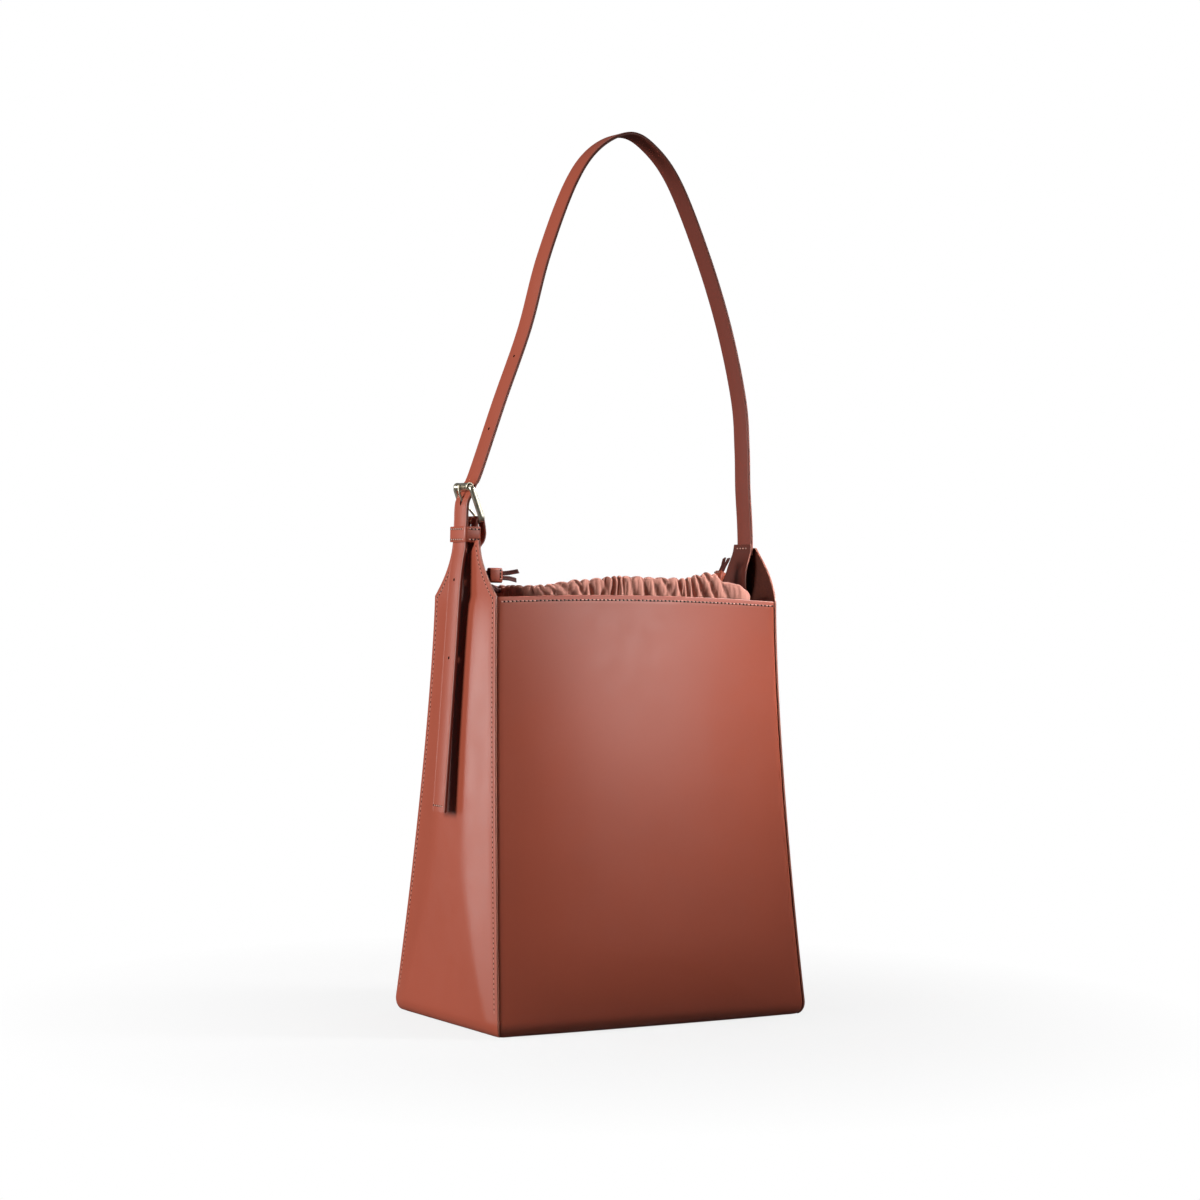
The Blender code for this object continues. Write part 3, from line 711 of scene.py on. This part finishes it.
def wide_point(side, u, level, depth=0.0):
    z, inset = foot(level, depth)
    zo, face_inset = foot(level, 0.0)
    reach = half_width(z) - face_inset - LEATHER - GAP / 3
    pillow = (1 - abs(u) ** 3) ** 1.1
    near_edge = (1 - abs(u)) * reach
    groove = 0.0006 * exp(-(near_edge / 0.0014) ** 2)
    bulge = FRONT_BULGE if side < 0 else BACK_BULGE
    swell = (bulge * belly(zo) + ripple(u * reach, zo, 3.0 * side)) * pillow - groove
    lift = TOP_ARCH * (1 - u * u) * (zo / HEIGHT) ** 4
    return Vector((u * reach, side * (half_depth(z) - inset + swell), z + lift))


def spread(count, crowding):
    """Values from -1 to 1, closer together near the ends the more crowding there is."""
    steps = [-1 + 2 * k / (count - 1) for k in range(count)]
    return [sin(t * pi / 2) * crowding + t * (1 - crowding) for t in steps]


def wall_levels():
    """Stations up a wall, closer together near the foot."""
    return ([-FOOT_TURN * (1 - k / 10) for k in range(10)]
            + [RIM_LEVEL * (k / 60) ** 1.25 for k in range(61)])


def wide_panel(name, side):
    def point(u, level, depth=0.0):
        return wide_point(side, u, level, depth)
    panel = thick_grid(name + "_leather", point, spread(61, 0.35), wall_levels(), LEATHER)
    place(panel, "leather", name, "bag")
    seam = Seam()
    surface = with_normal(point)
    seam.row(lambda u: surface(u, RIM_LEVEL - HEM_INSET, -side), -0.982, 0.982, 0.0034)
    seam.piece(name + "_hem_stitches", "bag")


def inner_piece(name, point, us, levels, thick, kinds=("flesh", "inside", "paint")):
    # By default the back, which faces into the bag, takes the darker inside leather: painted shade.
    piece = thick_grid(name + "_leather", point, us, levels, thick, kinds, 0.0003)
    place(piece, "leather_inside", name, "bag")


def facing(name, side):
    def point(u, level, depth):
        p = wide_point(side, u, level)
        p.y -= side * (LEATHER + GAP + depth)
        p.x *= 1 - 0.0022 / TOP_HALF_W
        return p
    rows = [RIM_LEVEL - FACING_DROP * (1 - k / 10) for k in range(11)]
    inner_piece(name, point, spread(49, 0.3), rows, FACING)
    seam = Seam()
    surface = with_normal(lambda u, v: point(u, v, FACING))
    seam.row(lambda u: surface(u, RIM_LEVEL - HEM_INSET, side), -0.955, 0.955, 0.0034)
    seam.piece(name + "_stitches", "bag")


def tab_share(z, rise=TAPER_RISE):
    """How far up a rise over the rim a height is, from 0 to 1."""
    return min(1.0, max(0.0, (z - HEIGHT) / rise))


def left_taper(z):
    s = tab_share(z)
    return LEFT_TAB_HALF + (TOP_HALF_D - LEFT_TAB_HALF) * (1 - s) ** 1.8


def right_taper(z):
    return TOP_HALF_D - (TOP_HALF_D - RIGHT_TAB_HALF) * tab_share(z) ** 1.15


def right_lean(z):
    return RIGHT_TAB_LEAN * sin(tab_share(z, 0.031) * pi / 2)


def edge_height(base, z, top, y, sweep):
    """A height above base on a tab whose top dips in an arc under what swings past it."""
    limit = top
    if abs(y) < sweep:
        limit = min(top, SWING_Z - sqrt(sweep * sweep - y * y))
    return base + (limit - base) * (z - base) / (top - base)


def gusset_reach(side, z, face_inset):
    if z <= HEIGHT:
        return half_depth(z) - max(0.0, face_inset)
    return left_taper(z) if side < 0 else right_taper(z)


def gusset_swell(u, z):
    """Flat in the middle, with a slope beside each seam that narrows into the foot's corners."""
    slope = 0.12 + 0.62 * min(1.0, max(0.0, z) / 0.12) ** 0.8
    crown = max(0.0, sin(pi * min(1.0, max(0.0, z) / HEIGHT)))
    return GUSSET_BULGE * smooth((1 - abs(u)) / slope) * crown ** 0.45


def gusset_point(side, u, level, depth=0.0):
    z, inset = foot(level, depth)
    zo, face_inset = foot(level, 0.0)
    y = u * gusset_reach(side, z, face_inset)
    lean = right_lean(z) if side > 0 else 0.0
    height = z
    if side < 0 and z > KEEPER_DIP:
        height = edge_height(KEEPER_DIP, z, LEFT_TAB_TOP, y, KEEPER_SWEEP)
    swell = gusset_swell(u, zo) + ripple(y, zo, 9.0 * side) * (1 - u * u)
    return Vector((side * (half_width(z) - inset + swell + lean), y, height))


def gusset(name, side):
    def point(u, level, depth=0.0):
        return gusset_point(side, u, level, depth)
    top = (LEFT_TAB_TOP if side < 0 else RIGHT_TAB_TOP) - FOOT_HIGH
    rows = wall_levels() + [RIM_LEVEL + (top - RIM_LEVEL) * k / 26 for k in range(1, 27)]
    piece = thick_grid(name + "_leather", point, spread(41, 0.35), rows, LEATHER)
    place(piece, "leather", name, "bag")

    surface = with_normal(point)
    for edge, word in ((-1, "front"), (1, "back")):
        seam = Seam()

        def line(level):
            z, inset = foot(level, 0.0)
            reach = gusset_reach(side, z, inset)
            slope = 1.0
            if z > HEIGHT:
                near = gusset_reach(side, min(z + 0.002, 0.357), 0.0)
                slope = sqrt(1 + ((reach - near) / 0.002) ** 2)
            return surface(edge * (1 - SEAM_INSET * min(slope, 1.7) / reach), level, -side)
        seam.row(line, 0.006, top - 0.0045, 0.0036, 0.00028, 0.00095)
        seam.piece(f"{name}_{word}_stitches", "bag")


def left_tab_facing():
    top = 0.350

    def point(u, z, depth):
        reach = min(half_depth(z), left_taper(z)) - 0.0035
        y = u * reach
        height = edge_height(LOOP_DIP, z, top, y, LOOP_SWEEP) if z > LOOP_DIP else z
        swell = gusset_swell(y / (left_taper(z) if z > HEIGHT else half_depth(z)), z)
        return Vector((-(half_width(z) - LEATHER - GAP - depth + swell), y, height))
    rows = [0.290 + (top - 0.290) * k / 24 for k in range(25)]
    inner_piece("left_tab_facing", point, spread(33, 0.2), rows, FACING)


def right_tab_leaf():
    """The inner leaf that clamps the strap's end, bowed away from the outer one."""
    line = smooth_route([(0.1249, 0.3608), (0.1244, 0.3540), (0.1224, 0.3470), (0.1202, 0.3395),
                         (0.1192, 0.3310), (0.1198, 0.3230), (0.1213, 0.3140), (0.1221, 0.3060),
                         (0.1223, 0.2950)], 0.002)
    thick = 0.0014

    def point(u, i, depth):
        p = line[i]
        along = heading(line, i)
        out = Vector((-along.y, along.x)) * (depth - thick / 2)
        reach = 0.0112 + 0.0030 * min(1.0, i / 16)
        cup = 0.0008 * u * u * min(1.0, i / 8)
        return Vector((p.x + out.x - cup, reach * u, p.y + out.y))
    # The leaf's face takes the darker inside leather: painted shade on its inward face.
    inner_piece("right_tab_leaf", point, spread(21, 0.2), range(len(line)), thick,
                ("inside", "flesh", "paint"))
    seam = Seam()
    seam.row(lambda u: (point(u, 1, 0.0) + Vector((0, 0, -0.0012)), -X_AXIS),
             -0.66, 0.66, 0.0036, 0.0006, 0.0009)
    seam.piece("right_tab_leaf_stitches", "bag")


def base():
    low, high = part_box("base_panel")
    rings = []
    for inset, z in ((0.0008, low.z), (0.0, low.z + 0.0007), (0.0, high.z)):
        outline = rounded_outline(high.x - inset, high.y - inset, 0.004, 8)
        rings.append([Vector((a, b, z)) for a, b in outline])
    panel = ring_skin("base_panel_leather", rings, ("leather",), edge=0.0003)
    place(panel, "leather", "base_panel", "bag")
    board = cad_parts["base_board"]
    board.data.materials.clear()
    board.data.materials.append(mats["board"])


# ---- pouch

def even_outline(half_a, half_b, corner, middle, count):
    """Evenly spaced points round a rounded rectangle with their outward normals."""
    raw = rounded_outline(half_a, half_b, corner, 24)
    raw.append(raw[0])
    lengths = distances(raw)
    found = []
    for k, t in stations(lengths, [lengths[-1] * n / count for n in range(count)]):
        (px, py), (qx, qy) = raw[k], raw[k + 1]
        along = Vector((qx - px, qy - py)).normalized()
        found.append((middle + px + (qx - px) * t, py + (qy - py) * t, along.y, -along.x))
    return found


def hem_top(x):
    """The height of the hem's upper edge."""
    x = min(HEM_EDGE[-1][0], max(HEM_EDGE[0][0], x))
    for (x0, z0), (x1, z1) in zip(HEM_EDGE, HEM_EDGE[1:]):
        if x <= x1:
            break
    return z0 + (z1 - z0) * smooth((x - x0) / (x1 - x0))


def smoothness(x):
    """The cloth is closely gathered except towards the right end, where it lies in wide folds."""
    return smooth((x - 0.060) / 0.030)


def gathers(ring):
    """For each point of the ring, how far along the row of gathers it is."""
    reached = [0.0]
    for n, (x, y, _, _) in enumerate(ring):
        following = ring[(n + 1) % len(ring)][:2]
        s = n / len(ring)
        pitch = PUFF_PITCH * (1 + 1.1 * smoothness(x))
        pitch *= 1 + 0.26 * sin(2 * pi * 7 * s + 0.6) + 0.26 * sin(2 * pi * 17 * s + 2.1)
        reached.append(reached[-1] + dist((x, y), following) / pitch)
    whole = round(reached[-1])
    return [r * whole / reached[-1] for r in reached[:-1]]


def lobe(phase):
    """A gather's roundness: 0 in a crease and 1 on top of a puff."""
    return abs(sin(pi * phase)) ** 0.62


def puff_size(s, x):
    size = 0.95 + 0.22 * sin(2 * pi * 5 * s + 1.0) + 0.18 * sin(2 * pi * 17 * s + 0.4)
    return size * (1.0 - 0.55 * smoothness(x))


def pouch_ring(z, less=0.0):
    """The pouch's outline where it hangs free, less an extra inset."""
    inset = POUCH_INSET + less
    return even_outline(half_width(z) - inset, half_depth(z) - inset, CORNER, 0.0, CLOTH_COUNT)


def pouch_piece():
    levels_up = [(0.0050, 0.0140), (0.0052, 0.0115), (0.0066, 0.0080), (0.0095, 0.0045),
                 (0.0140, 0.0020), (0.0200, 0.0005)]
    levels_up += [(0.030 + (NECK_START - 0.030) * k / 8, 0.0) for k in range(9)]
    neck_z = HEM_LOW + 0.004
    rows = [(z, pouch_ring(z, less)) for z, less in levels_up]
    low = pouch_ring(NECK_START)
    neck = hem_outline()
    phases = gathers(neck)
    steps = 14
    for k in range(1, steps + 1):
        e = smooth(k / steps)
        ring = [tuple(a + (b - a) * e for a, b in zip(p, q)) for p, q in zip(low, neck)]
        rows.append((NECK_START + (neck_z - NECK_START) * k / steps, ring))
    verts = []
    for z, ring in rows:
        tight = max(0.0, (z - 0.190) / (neck_z - 0.190)) ** 2.0
        for n, (x, y, nx, ny) in enumerate(ring):
            amount = PUFF_OUT * tight * puff_size(n / CLOTH_COUNT, x) * (lobe(phases[n]) - 0.62)
            if z > 0.008:
                amount += 0.0012 * noise.noise(Vector((x * 26, y * 26, z * 18))) - 0.0008
            verts.append(Vector((x + nx * amount, y + ny * amount, z)))
    faces = ring_faces(len(rows), CLOTH_COUNT) + [tuple(reversed(range(CLOTH_COUNT)))]
    piece = mesh_piece("pouch_cloth", verts, faces, ("cloth",), closed=False)
    thick = piece.modifiers.new("thickness", "SOLIDIFY")
    thick.thickness = POUCH_THICK
    thick.offset = -1
    settle(piece)
    place(piece, "pouch_cloth", "pouch", "bag")
    return piece


def hem_outline():
    inset = HEM_THICK / 2
    return even_outline(HEM_HALF_W - inset, HEM_HALF_D - inset, CORNER - 0.002, HEM_MIDDLE,
                        CLOTH_COUNT)


def pouch_hem():
    """The gathered channel: a flattened tube of cloth, puffed between its creases."""
    around = 26
    ring = hem_outline()
    phases = gathers(ring)
    rings = []
    for n, (x, y, nx, ny) in enumerate(ring):
        size = puff_size(n / CLOTH_COUNT, x)
        crest = lobe(phases[n])
        top = hem_top(x) + 0.0012 + 0.0008 * noise.noise(Vector((x * 60, y * 60, 3.0)))
        top -= 0.0050 * smooth((y + 0.012) / 0.030) * smooth((0.105 - abs(x - HEM_MIDDLE)) / 0.03)
        top -= 0.0024 * size * (1 - crest)
        middle = (top + HEM_LOW) / 2
        tall = (top - HEM_LOW) / 2
        sway = 0.0010 * noise.noise(Vector((x * 34, y * 34, 8.0)))
        section = []
        for k in range(around):
            angle = 2 * pi * k / around
            c = cos(angle)
            h = sin(angle)
            slant = 1.1 * h * noise.noise(Vector((x * 38, y * 38, 1.5))) + 0.14 * h
            fade = smooth(0.5 + 1.5 * noise.noise(Vector((x * 75, y * 75, h * 1.3 + 4.0))))
            lift = lobe(phases[n] + slant)
            lift += (0.80 - lift) * 0.55 * fade
            lift -= 0.16 * (1 - lobe(phases[n] * 2 + 0.3 - slant))
            wall = HEM_THICK / 2 * signed(c, 0.7)
            wall += signed(c, 0.4) * PUFF_OUT * size * (lift - 0.70)
            z = middle + tall * signed(h, 0.85)
            creases = noise.noise(Vector((x * 420, y * 420, z * 120)))
            out = wall + sway + 0.00035 * creases
            section.append(Vector((x + nx * out, y + ny * out, z)))
        rings.append(section)
    hem = ring_skin("pouch_hem_cloth", rings, ("cloth",), joined=True)
    place(hem, "pouch_cloth", "pouch_hem", "bag")
    return hem


# ---- cords and sliders

def cord_routes():
    """The routes of the drawcord's four ends, as the CAD model has them."""
    routes = {
        "drawcord_left_upper": [
            (LEFT_OUT, -0.0030, 0.3205), (LEFT_OUT - 0.0035, -0.0030, 0.3212),
            (-0.1035, -0.0032, 0.3235), (-0.1080, -0.0030, 0.3242), (-0.1115, -0.0022, 0.3270),
            (-0.1110, -0.0008, 0.3315), (-0.1085, 0.0, 0.3335), (-0.1050, 0.0, 0.3337),
            (-0.1000, 0.0, 0.3337), (-0.0940, 0.0, 0.3337), (-0.0890, -0.0002, 0.3340),
            (-0.0850, -0.0008, 0.3347), (-0.0800, -0.0014, 0.3356)],
        "drawcord_left_lower": [
            (LEFT_OUT, 0.0030, 0.3205), (LEFT_OUT - 0.0035, 0.0030, 0.3208),
            (-0.1030, 0.0030, 0.3222), (-0.1075, 0.0026, 0.3232), (-0.1095, 0.0014, 0.3262),
            (-0.1085, 0.0004, 0.3292), (-0.1055, 0.0, 0.3303), (-0.1000, 0.0, 0.3303),
            (-0.0940, 0.0, 0.3303), (-0.0890, 0.0002, 0.3301), (-0.0850, 0.0006, 0.3296),
            (-0.0805, 0.0010, 0.3286)]}
    for name, side in (("front", -1), ("back", 1)):
        y = side * CORD_SIDE
        fan = side * 0.0026
        routes["drawcord_right_" + name] = [
            (RIGHT_OUT, y, 0.3165), (RIGHT_OUT - 0.0040, y, 0.3165), (0.1040, y, 0.3178),
            (0.1002, y, 0.3215), (0.0992, y, 0.3260), (0.1000, y, 0.3300), (0.1023, y, 0.3345),
            (0.1046, y, 0.3389), (0.1069, y, 0.3433), (0.1086, fan, 0.3470),
            (0.1098, fan * 1.2, 0.3500)]
    return routes


def lace_outline():
    """A folded leather lace in section: flat, with a furrow along the middle of each side."""
    outline = []
    for k in range(ROUND):
        angle = 2 * pi * k / ROUND
        wide = LACE_WIDE / 2 * cos(angle)
        furrow = 1 - 0.45 * exp(-(wide / 0.00045) ** 2)
        outline.append((wide, LACE_THICK / 2 * signed(sin(angle), 0.6) * furrow))
    return outline


def drawcords():
    outline = lace_outline()
    for node, points in cord_routes().items():
        route = smooth_route(points, 0.0010)
        flat_to_front = node.startswith("drawcord_left")
        rings = []
        for i, p in enumerate(route):
            along = heading(route, i)
            wide = along.cross(Y_AXIS).normalized() if flat_to_front else Y_AXIS
            wide = (wide - along * wide.dot(along)).normalized()
            thin = along.cross(wide)
            cut = 0.0012 if i == len(route) - 1 else 0.0
            rings.append([p + wide * a + thin * b - along * cut * (a / LACE_WIDE + 0.5)
                          for a, b in outline])
        lace = ring_skin(node + "_lace", rings, ("lace",), edge=0.0001, angle=60)
        length = distances(route)[-1]
        place(lace, "drawcord", node, "bag")
        tuple(route[0])
        [tuple(p) for p in route]


def slider(node, body, along, wide):
    """A folded leather loop with one stitch through both layers."""
    low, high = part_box(node)
    centre = (low + high) / 2
    along = Vector(along).normalized()
    wide = Vector(wide)
    thin = wide.cross(along)
    length, half_wide = (0.0105, 0.0056) if node == "slider_left" else (0.0090, 0.0048)
    outer = rounded_outline(SLIDER_HALF_THICK, half_wide, 0.0021, 6)
    inner = rounded_outline(0.0018, half_wide - 0.0011, 0.0008, 6)
    rings = []
    for outline, end in ((outer, -0.5), (outer, 0.5), (inner, 0.5), (inner, -0.5)):
        rings.append([centre + thin * a + wide * b + along * end * length for a, b in outline])
    loop = ring_skin(node + "_leather", rings, ("leather",), joined=True, edge=0.00025)
    place(loop, "leather", node, body)
    seam = Seam()
    for side in (-1, 1):
        out = thin * side
        face = centre + out * SLIDER_HALF_THICK + along * length * 0.32
        seam.row(lambda t: (face + wide * t, out), -0.0036, 0.0036, 0.0026)
    seam.piece(node + "_stitches", body)


# ---- buckle and keeper

def bent_wire(node, body, path, halves, closed):
    """Metal bar bent in its path's plane; halves(i) gives its two half-sizes and squareness."""
    rings = []
    count = len(path)
    flat = (path[count // 3] - path[0]).cross(path[2 * count // 3] - path[0]).normalized()
    for i, p in enumerate(path):
        ahead = path[(i + 1) % count] if closed else path[min(i + 1, count - 1)]
        behind = path[i - 1] if closed else path[max(i - 1, 0)]
        along = (ahead - behind).normalized()
        side = along.cross(flat)
        half_flat, half_side, square = halves(i)
        ring = []
        for k in range(ROUND):
            angle = 2 * pi * k / ROUND
            ring.append(p + flat * half_flat * signed(cos(angle), square)
                        + side * half_side * signed(sin(angle), square))
        rings.append(ring)
    place(ring_skin(node + "_brass", rings, ("brass",), joined=closed), "brass", node, body)


def buckle_frame():
    """Thin bars at the roller and at the leather loop, joined by stout side bars."""
    up = ROLLER - BAR
    half_up = up.length / 2
    up.normalize()
    half_y = 0.0120
    corner = 0.0030
    path = []
    for k, (sa, sb) in enumerate([(1, 1), (-1, 1), (-1, -1), (1, -1)]):
        centre = Vector((sa * (half_y - corner), sb * (half_up - corner)))
        out = Vector((cos(pi / 2 * k), sin(pi / 2 * k)))
        ahead = Vector((-out.y, out.x))
        straight = ahead * 2 * ((half_y if k % 2 else half_up) - corner)
        for n in range(16):
            path.append(centre + out * corner - straight * (1 - n / 16))
        for n in range(6):
            angle = pi / 2 * n / 6
            path.append(centre + (out * cos(angle) + ahead * sin(angle)) * corner)
    points = [(BAR + ROLLER) / 2 + Y_AXIS * p.x + up * p.y for p in path]

    def halves(i):
        stout = smooth((abs(path[i].x) - (half_y - corner)) / corner)
        thick = BAR_RADIUS + 0.0007 * stout
        return thick, BAR_RADIUS + 0.00035 * stout, 1.0 - 0.35 * stout
    bent_wire("buckle_frame", "buckle", points, halves, True)


def buckle_prong():
    """A pin hooked round the lower bar, through the strap's hole, to rest on the roller."""
    hook = BAR_RADIUS + GAP + 0.0011
    hole = Vector((PRONG_HOLE[0], 0, PRONG_HOLE[1]))
    reach = hole - BAR
    leave = atan2(reach.z, reach.x) - (pi / 2 - asin(hook / reach.length))
    points = []
    for k in range(25):
        angle = leave - radians(235) * (1 - k / 24)
        points.append(BAR + Vector((cos(angle), 0, sin(angle))) * hook)
    points += smooth_route([points[-1], points[-1].lerp(hole, 0.5), hole, (-0.1307, 0, 0.3912),
                            (-0.1317, 0, 0.3952), (-0.1322, 0, 0.3985)], 0.0010)[1:]
    tip = len(points) - 1

    def halves(i):
        size = 0.00098 - 0.00018 * smooth((i - tip + 8) / 8)
        if i == tip:
            size *= 0.5
        return size, size, 1.0
    bent_wire("buckle_prong", "prong", points, halves, False)


def roller():
    """The roller tube: lips at its ends and a dark bore wider than the bar inside."""
    half = 0.0098
    profile = [(half, 0.00245), (half, 0.00300), (half - 0.0002, 0.00312),
               (half - 0.0011, 0.00312), (half - 0.0015, 0.00292), (0.0, 0.00290)]
    profile += [(-y, r) for y, r in reversed(profile[:-1])]
    profile += [(-half + 0.002, 0.0023), (half - 0.002, 0.0023)]
    turns = [2 * pi * k / 48 for k in range(48)]
    rings = [[ROLLER + Vector((r * cos(t), y, r * sin(t))) for t in turns] for y, r in profile]
    tube = ring_skin("buckle_roller_brass", rings, ("brass",), joined=True)
    tube.data.set_sharp_from_angle(angle=radians(50))
    place(tube, "brass", "buckle_roller", "roller")


def keeper():
    low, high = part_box("keeper")
    middle = (low.x + high.x) / 2
    half = (high.x - low.x) / 2
    wide = high.y
    wall = 0.0012
    outer = rounded_outline(half, wide, 0.0022, 8)
    inner = rounded_outline(half - wall, wide - wall, 0.0010, 8)
    rings = [[Vector((middle + a, b, z)) for a, b in outline] for outline, z in
             ((outer, low.z), (outer, high.z), (inner, high.z), (inner, low.z))]
    band = ring_skin("keeper_leather", rings, ("leather",), joined=True, edge=0.0003)
    place(band, "leather", "keeper", "keeper_band")
    seam = Seam()
    for z in (low.z + 0.0019, high.z - 0.0019):
        seam.row(lambda y: (Vector((low.x, y, z)), -X_AXIS),
                 -wide + 0.0026, wide - 0.0026, 0.0030)
        for side in (-1, 1):
            seam.row(lambda x: (Vector((x, side * wide, z)), Y_AXIS * side),
                     low.x + 0.0026, high.x - 0.0026, 0.0032)
    seam.piece("keeper_stitches", "keeper_band")


def strap_profile(width, thick):
    """Half-width and half-thickness steps round a strap with rounded, creased edges."""
    w = width / 2
    t = thick / 2
    crease = 0.00014
    quarter = [(0.0, t), (w - 0.0025, t), (w - 0.0021, t - crease), (w - 0.0017, t),
               (w - 0.0007, t), (w - 0.0002, t * 0.75), (w, t * 0.35)]
    loop = quarter + [(a, -b) for a, b in reversed(quarter)]
    loop += [(-a, -b) for a, b in quarter[1:]] + [(-a, b) for a, b in reversed(quarter[1:])]
    return loop


def strap_sweep(name, route, width, thick):
    """A strap along a route of (x, z) points, its width along Y."""
    profile = strap_profile(width, thick)
    rings = []
    for i, p in enumerate(route):
        along = heading(route, i)
        rings.append([Vector((p.x + along.y * b, a, p.y - along.x * b)) for a, b in profile])
    slots = []
    for a, b in zip(profile, profile[1:] + profile[:1]):
        # The side edges and the ends take the darker strap edge paint: painted shade.
        edge = min(abs(a[0]), abs(b[0])) > width / 2 - 0.0008
        # The inner side, under the arch, takes the darker strap leather: painted shade.
        inner = max(a[1], b[1]) < -thick * 0.4
        slots.append(1 if edge else 3 if inner else 0)
    slots = slots * (len(rings) - 1) + [1, 1]
    return mesh_piece(name, [p for ring in rings for p in ring],
                      capped_faces(len(rings), len(profile)),
                      ("strap", "strap_edge", "hole", "strap_underside_painted_shade"), slots)


def punch(obj, route, spots, radius, long_radius=None):
    """Cuts holes through a strap, their walls painted near black as shade; they may be longer along
    the strap.
    """
    for spot in spots:
        here = Vector(spot)
        near = min(range(len(route)), key=lambda i: (route[i] - here).length)
        along = heading(route, near)
        x = Vector((along.x, 0, along.y))
        bm = bmesh.new()
        bmesh.ops.create_cone(bm, cap_ends=True, segments=24, radius1=1.0, radius2=1.0, depth=0.01)
        bmesh.ops.scale(bm, vec=(long_radius or radius, radius, 1.0), verts=bm.verts)
        turn = Matrix((x, Y_AXIS, x.cross(Y_AXIS))).transposed().to_4x4()
        carve(obj, bm, "hole", Matrix.Translation((here.x, 0, here.y)) @ turn)


def straps():
    whole = smooth_route(STRAP_ROUTE, 0.0025)
    route = [p for p in whole if not (p.x < -0.125 and p.y < STRAP_SPLIT_Z)]
    strap = strap_sweep("shoulder_strap_leather", route, STRAP_W, STRAP_T)
    punch(strap, route, STRAP_HOLES, 0.0011)
    punch(strap, route, [PRONG_HOLE], 0.0015, 0.0040)
    place(strap, "leather", "shoulder_strap", "strap")

    tail_route = smooth_route([(-0.1300, STRAP_SPLIT_Z - 0.0001), *TAIL_ROUTE], 0.0022)
    tail = strap_sweep("strap_tail_leather", tail_route, STRAP_W, STRAP_T)
    punch(tail, tail_route, TAIL_HOLES, 0.0011)
    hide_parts("strap_tail")
    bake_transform(tail)

    end = tail_route[-1]
    up = (tail_route[-4] - end).normalized()
    spot = end + up * 0.0042
    out = Vector((-up.y, 0, up.x))
    seam = Seam()
    for side in (-1, 1):
        face = Vector((spot.x, 0, spot.y)) + out * side * STRAP_T / 2
        seam.row(lambda y: (face + Y_AXIS * y, out * side), -0.0072, 0.0072, 0.0030)
    seam.piece("strap_tail_stitches", "tail")


def buckle_loop():
    """The leather that holds the buckle's lower bar, slotted for the prong."""
    wrap = BAR_RADIUS + GAP + LEATHER / 2
    line = smooth_route([(-0.1215, 0.3470), (-0.1215, 0.3520), (-0.1215, 0.3590),
                         (-0.1215, 0.3665)], 0.002)
    for k in range(21):
        angle = pi * (1 - k / 20)
        line.append(Vector((BAR.x + wrap * cos(angle), BAR.z + wrap * sin(angle))))
    leg = smooth_route([line[-1], (-0.1143, 0.3670), (-0.1139, 0.3620), (-0.1152, 0.3570),
                        (-0.1180, 0.3530), (-0.1192, 0.3470)], 0.0012)
    line += leg[1:]
    loop = strap_sweep("buckle_loop_leather", line, 0.0192, LEATHER)
    bm = bmesh.new()
    bmesh.ops.create_cube(bm, size=1.0)
    bmesh.ops.scale(bm, vec=(0.013, 0.0038, 0.0125), verts=bm.verts)
    carve(loop, bm, "paint", Matrix.Translation((BAR.x - 0.0005, 0, BAR.z + 0.00175)))
    place(loop, "leather", "buckle_loop", "strap")
    seam = Seam()
    for y in (-0.0076, 0.0076):
        seam.row(lambda z: (Vector((-0.1183 + (z - 0.347) / 15, y, z)), X_AXIS),
                 0.3478, 0.3535, 0.0030)
    seam.row(lambda y: (Vector((-0.11835, y, 0.3490)), X_AXIS), -0.0064, 0.0064, 0.0030)
    seam.piece("buckle_loop_stitches", "strap")


make_camera()
make_materials()
drawcords()
slider("slider_left", "left_slider", (1, 0, 0), (0, 0, 1))
slider("slider_right", "right_slider", SLIDER_RIGHT_ALONG, (0, 1, 0))
wide_panel("front_panel", -1)
wide_panel("back_panel", 1)
gusset("left_gusset", -1)
gusset("right_gusset", 1)
facing("front_top_facing", -1)
facing("back_top_facing", 1)
left_tab_facing()
right_tab_leaf()
base()
pouch = pouch_piece()
hem = pouch_hem()
buckle_frame()
buckle_prong()
roller()
keeper()
buckle_loop()
straps()
make_floor()
make_light()
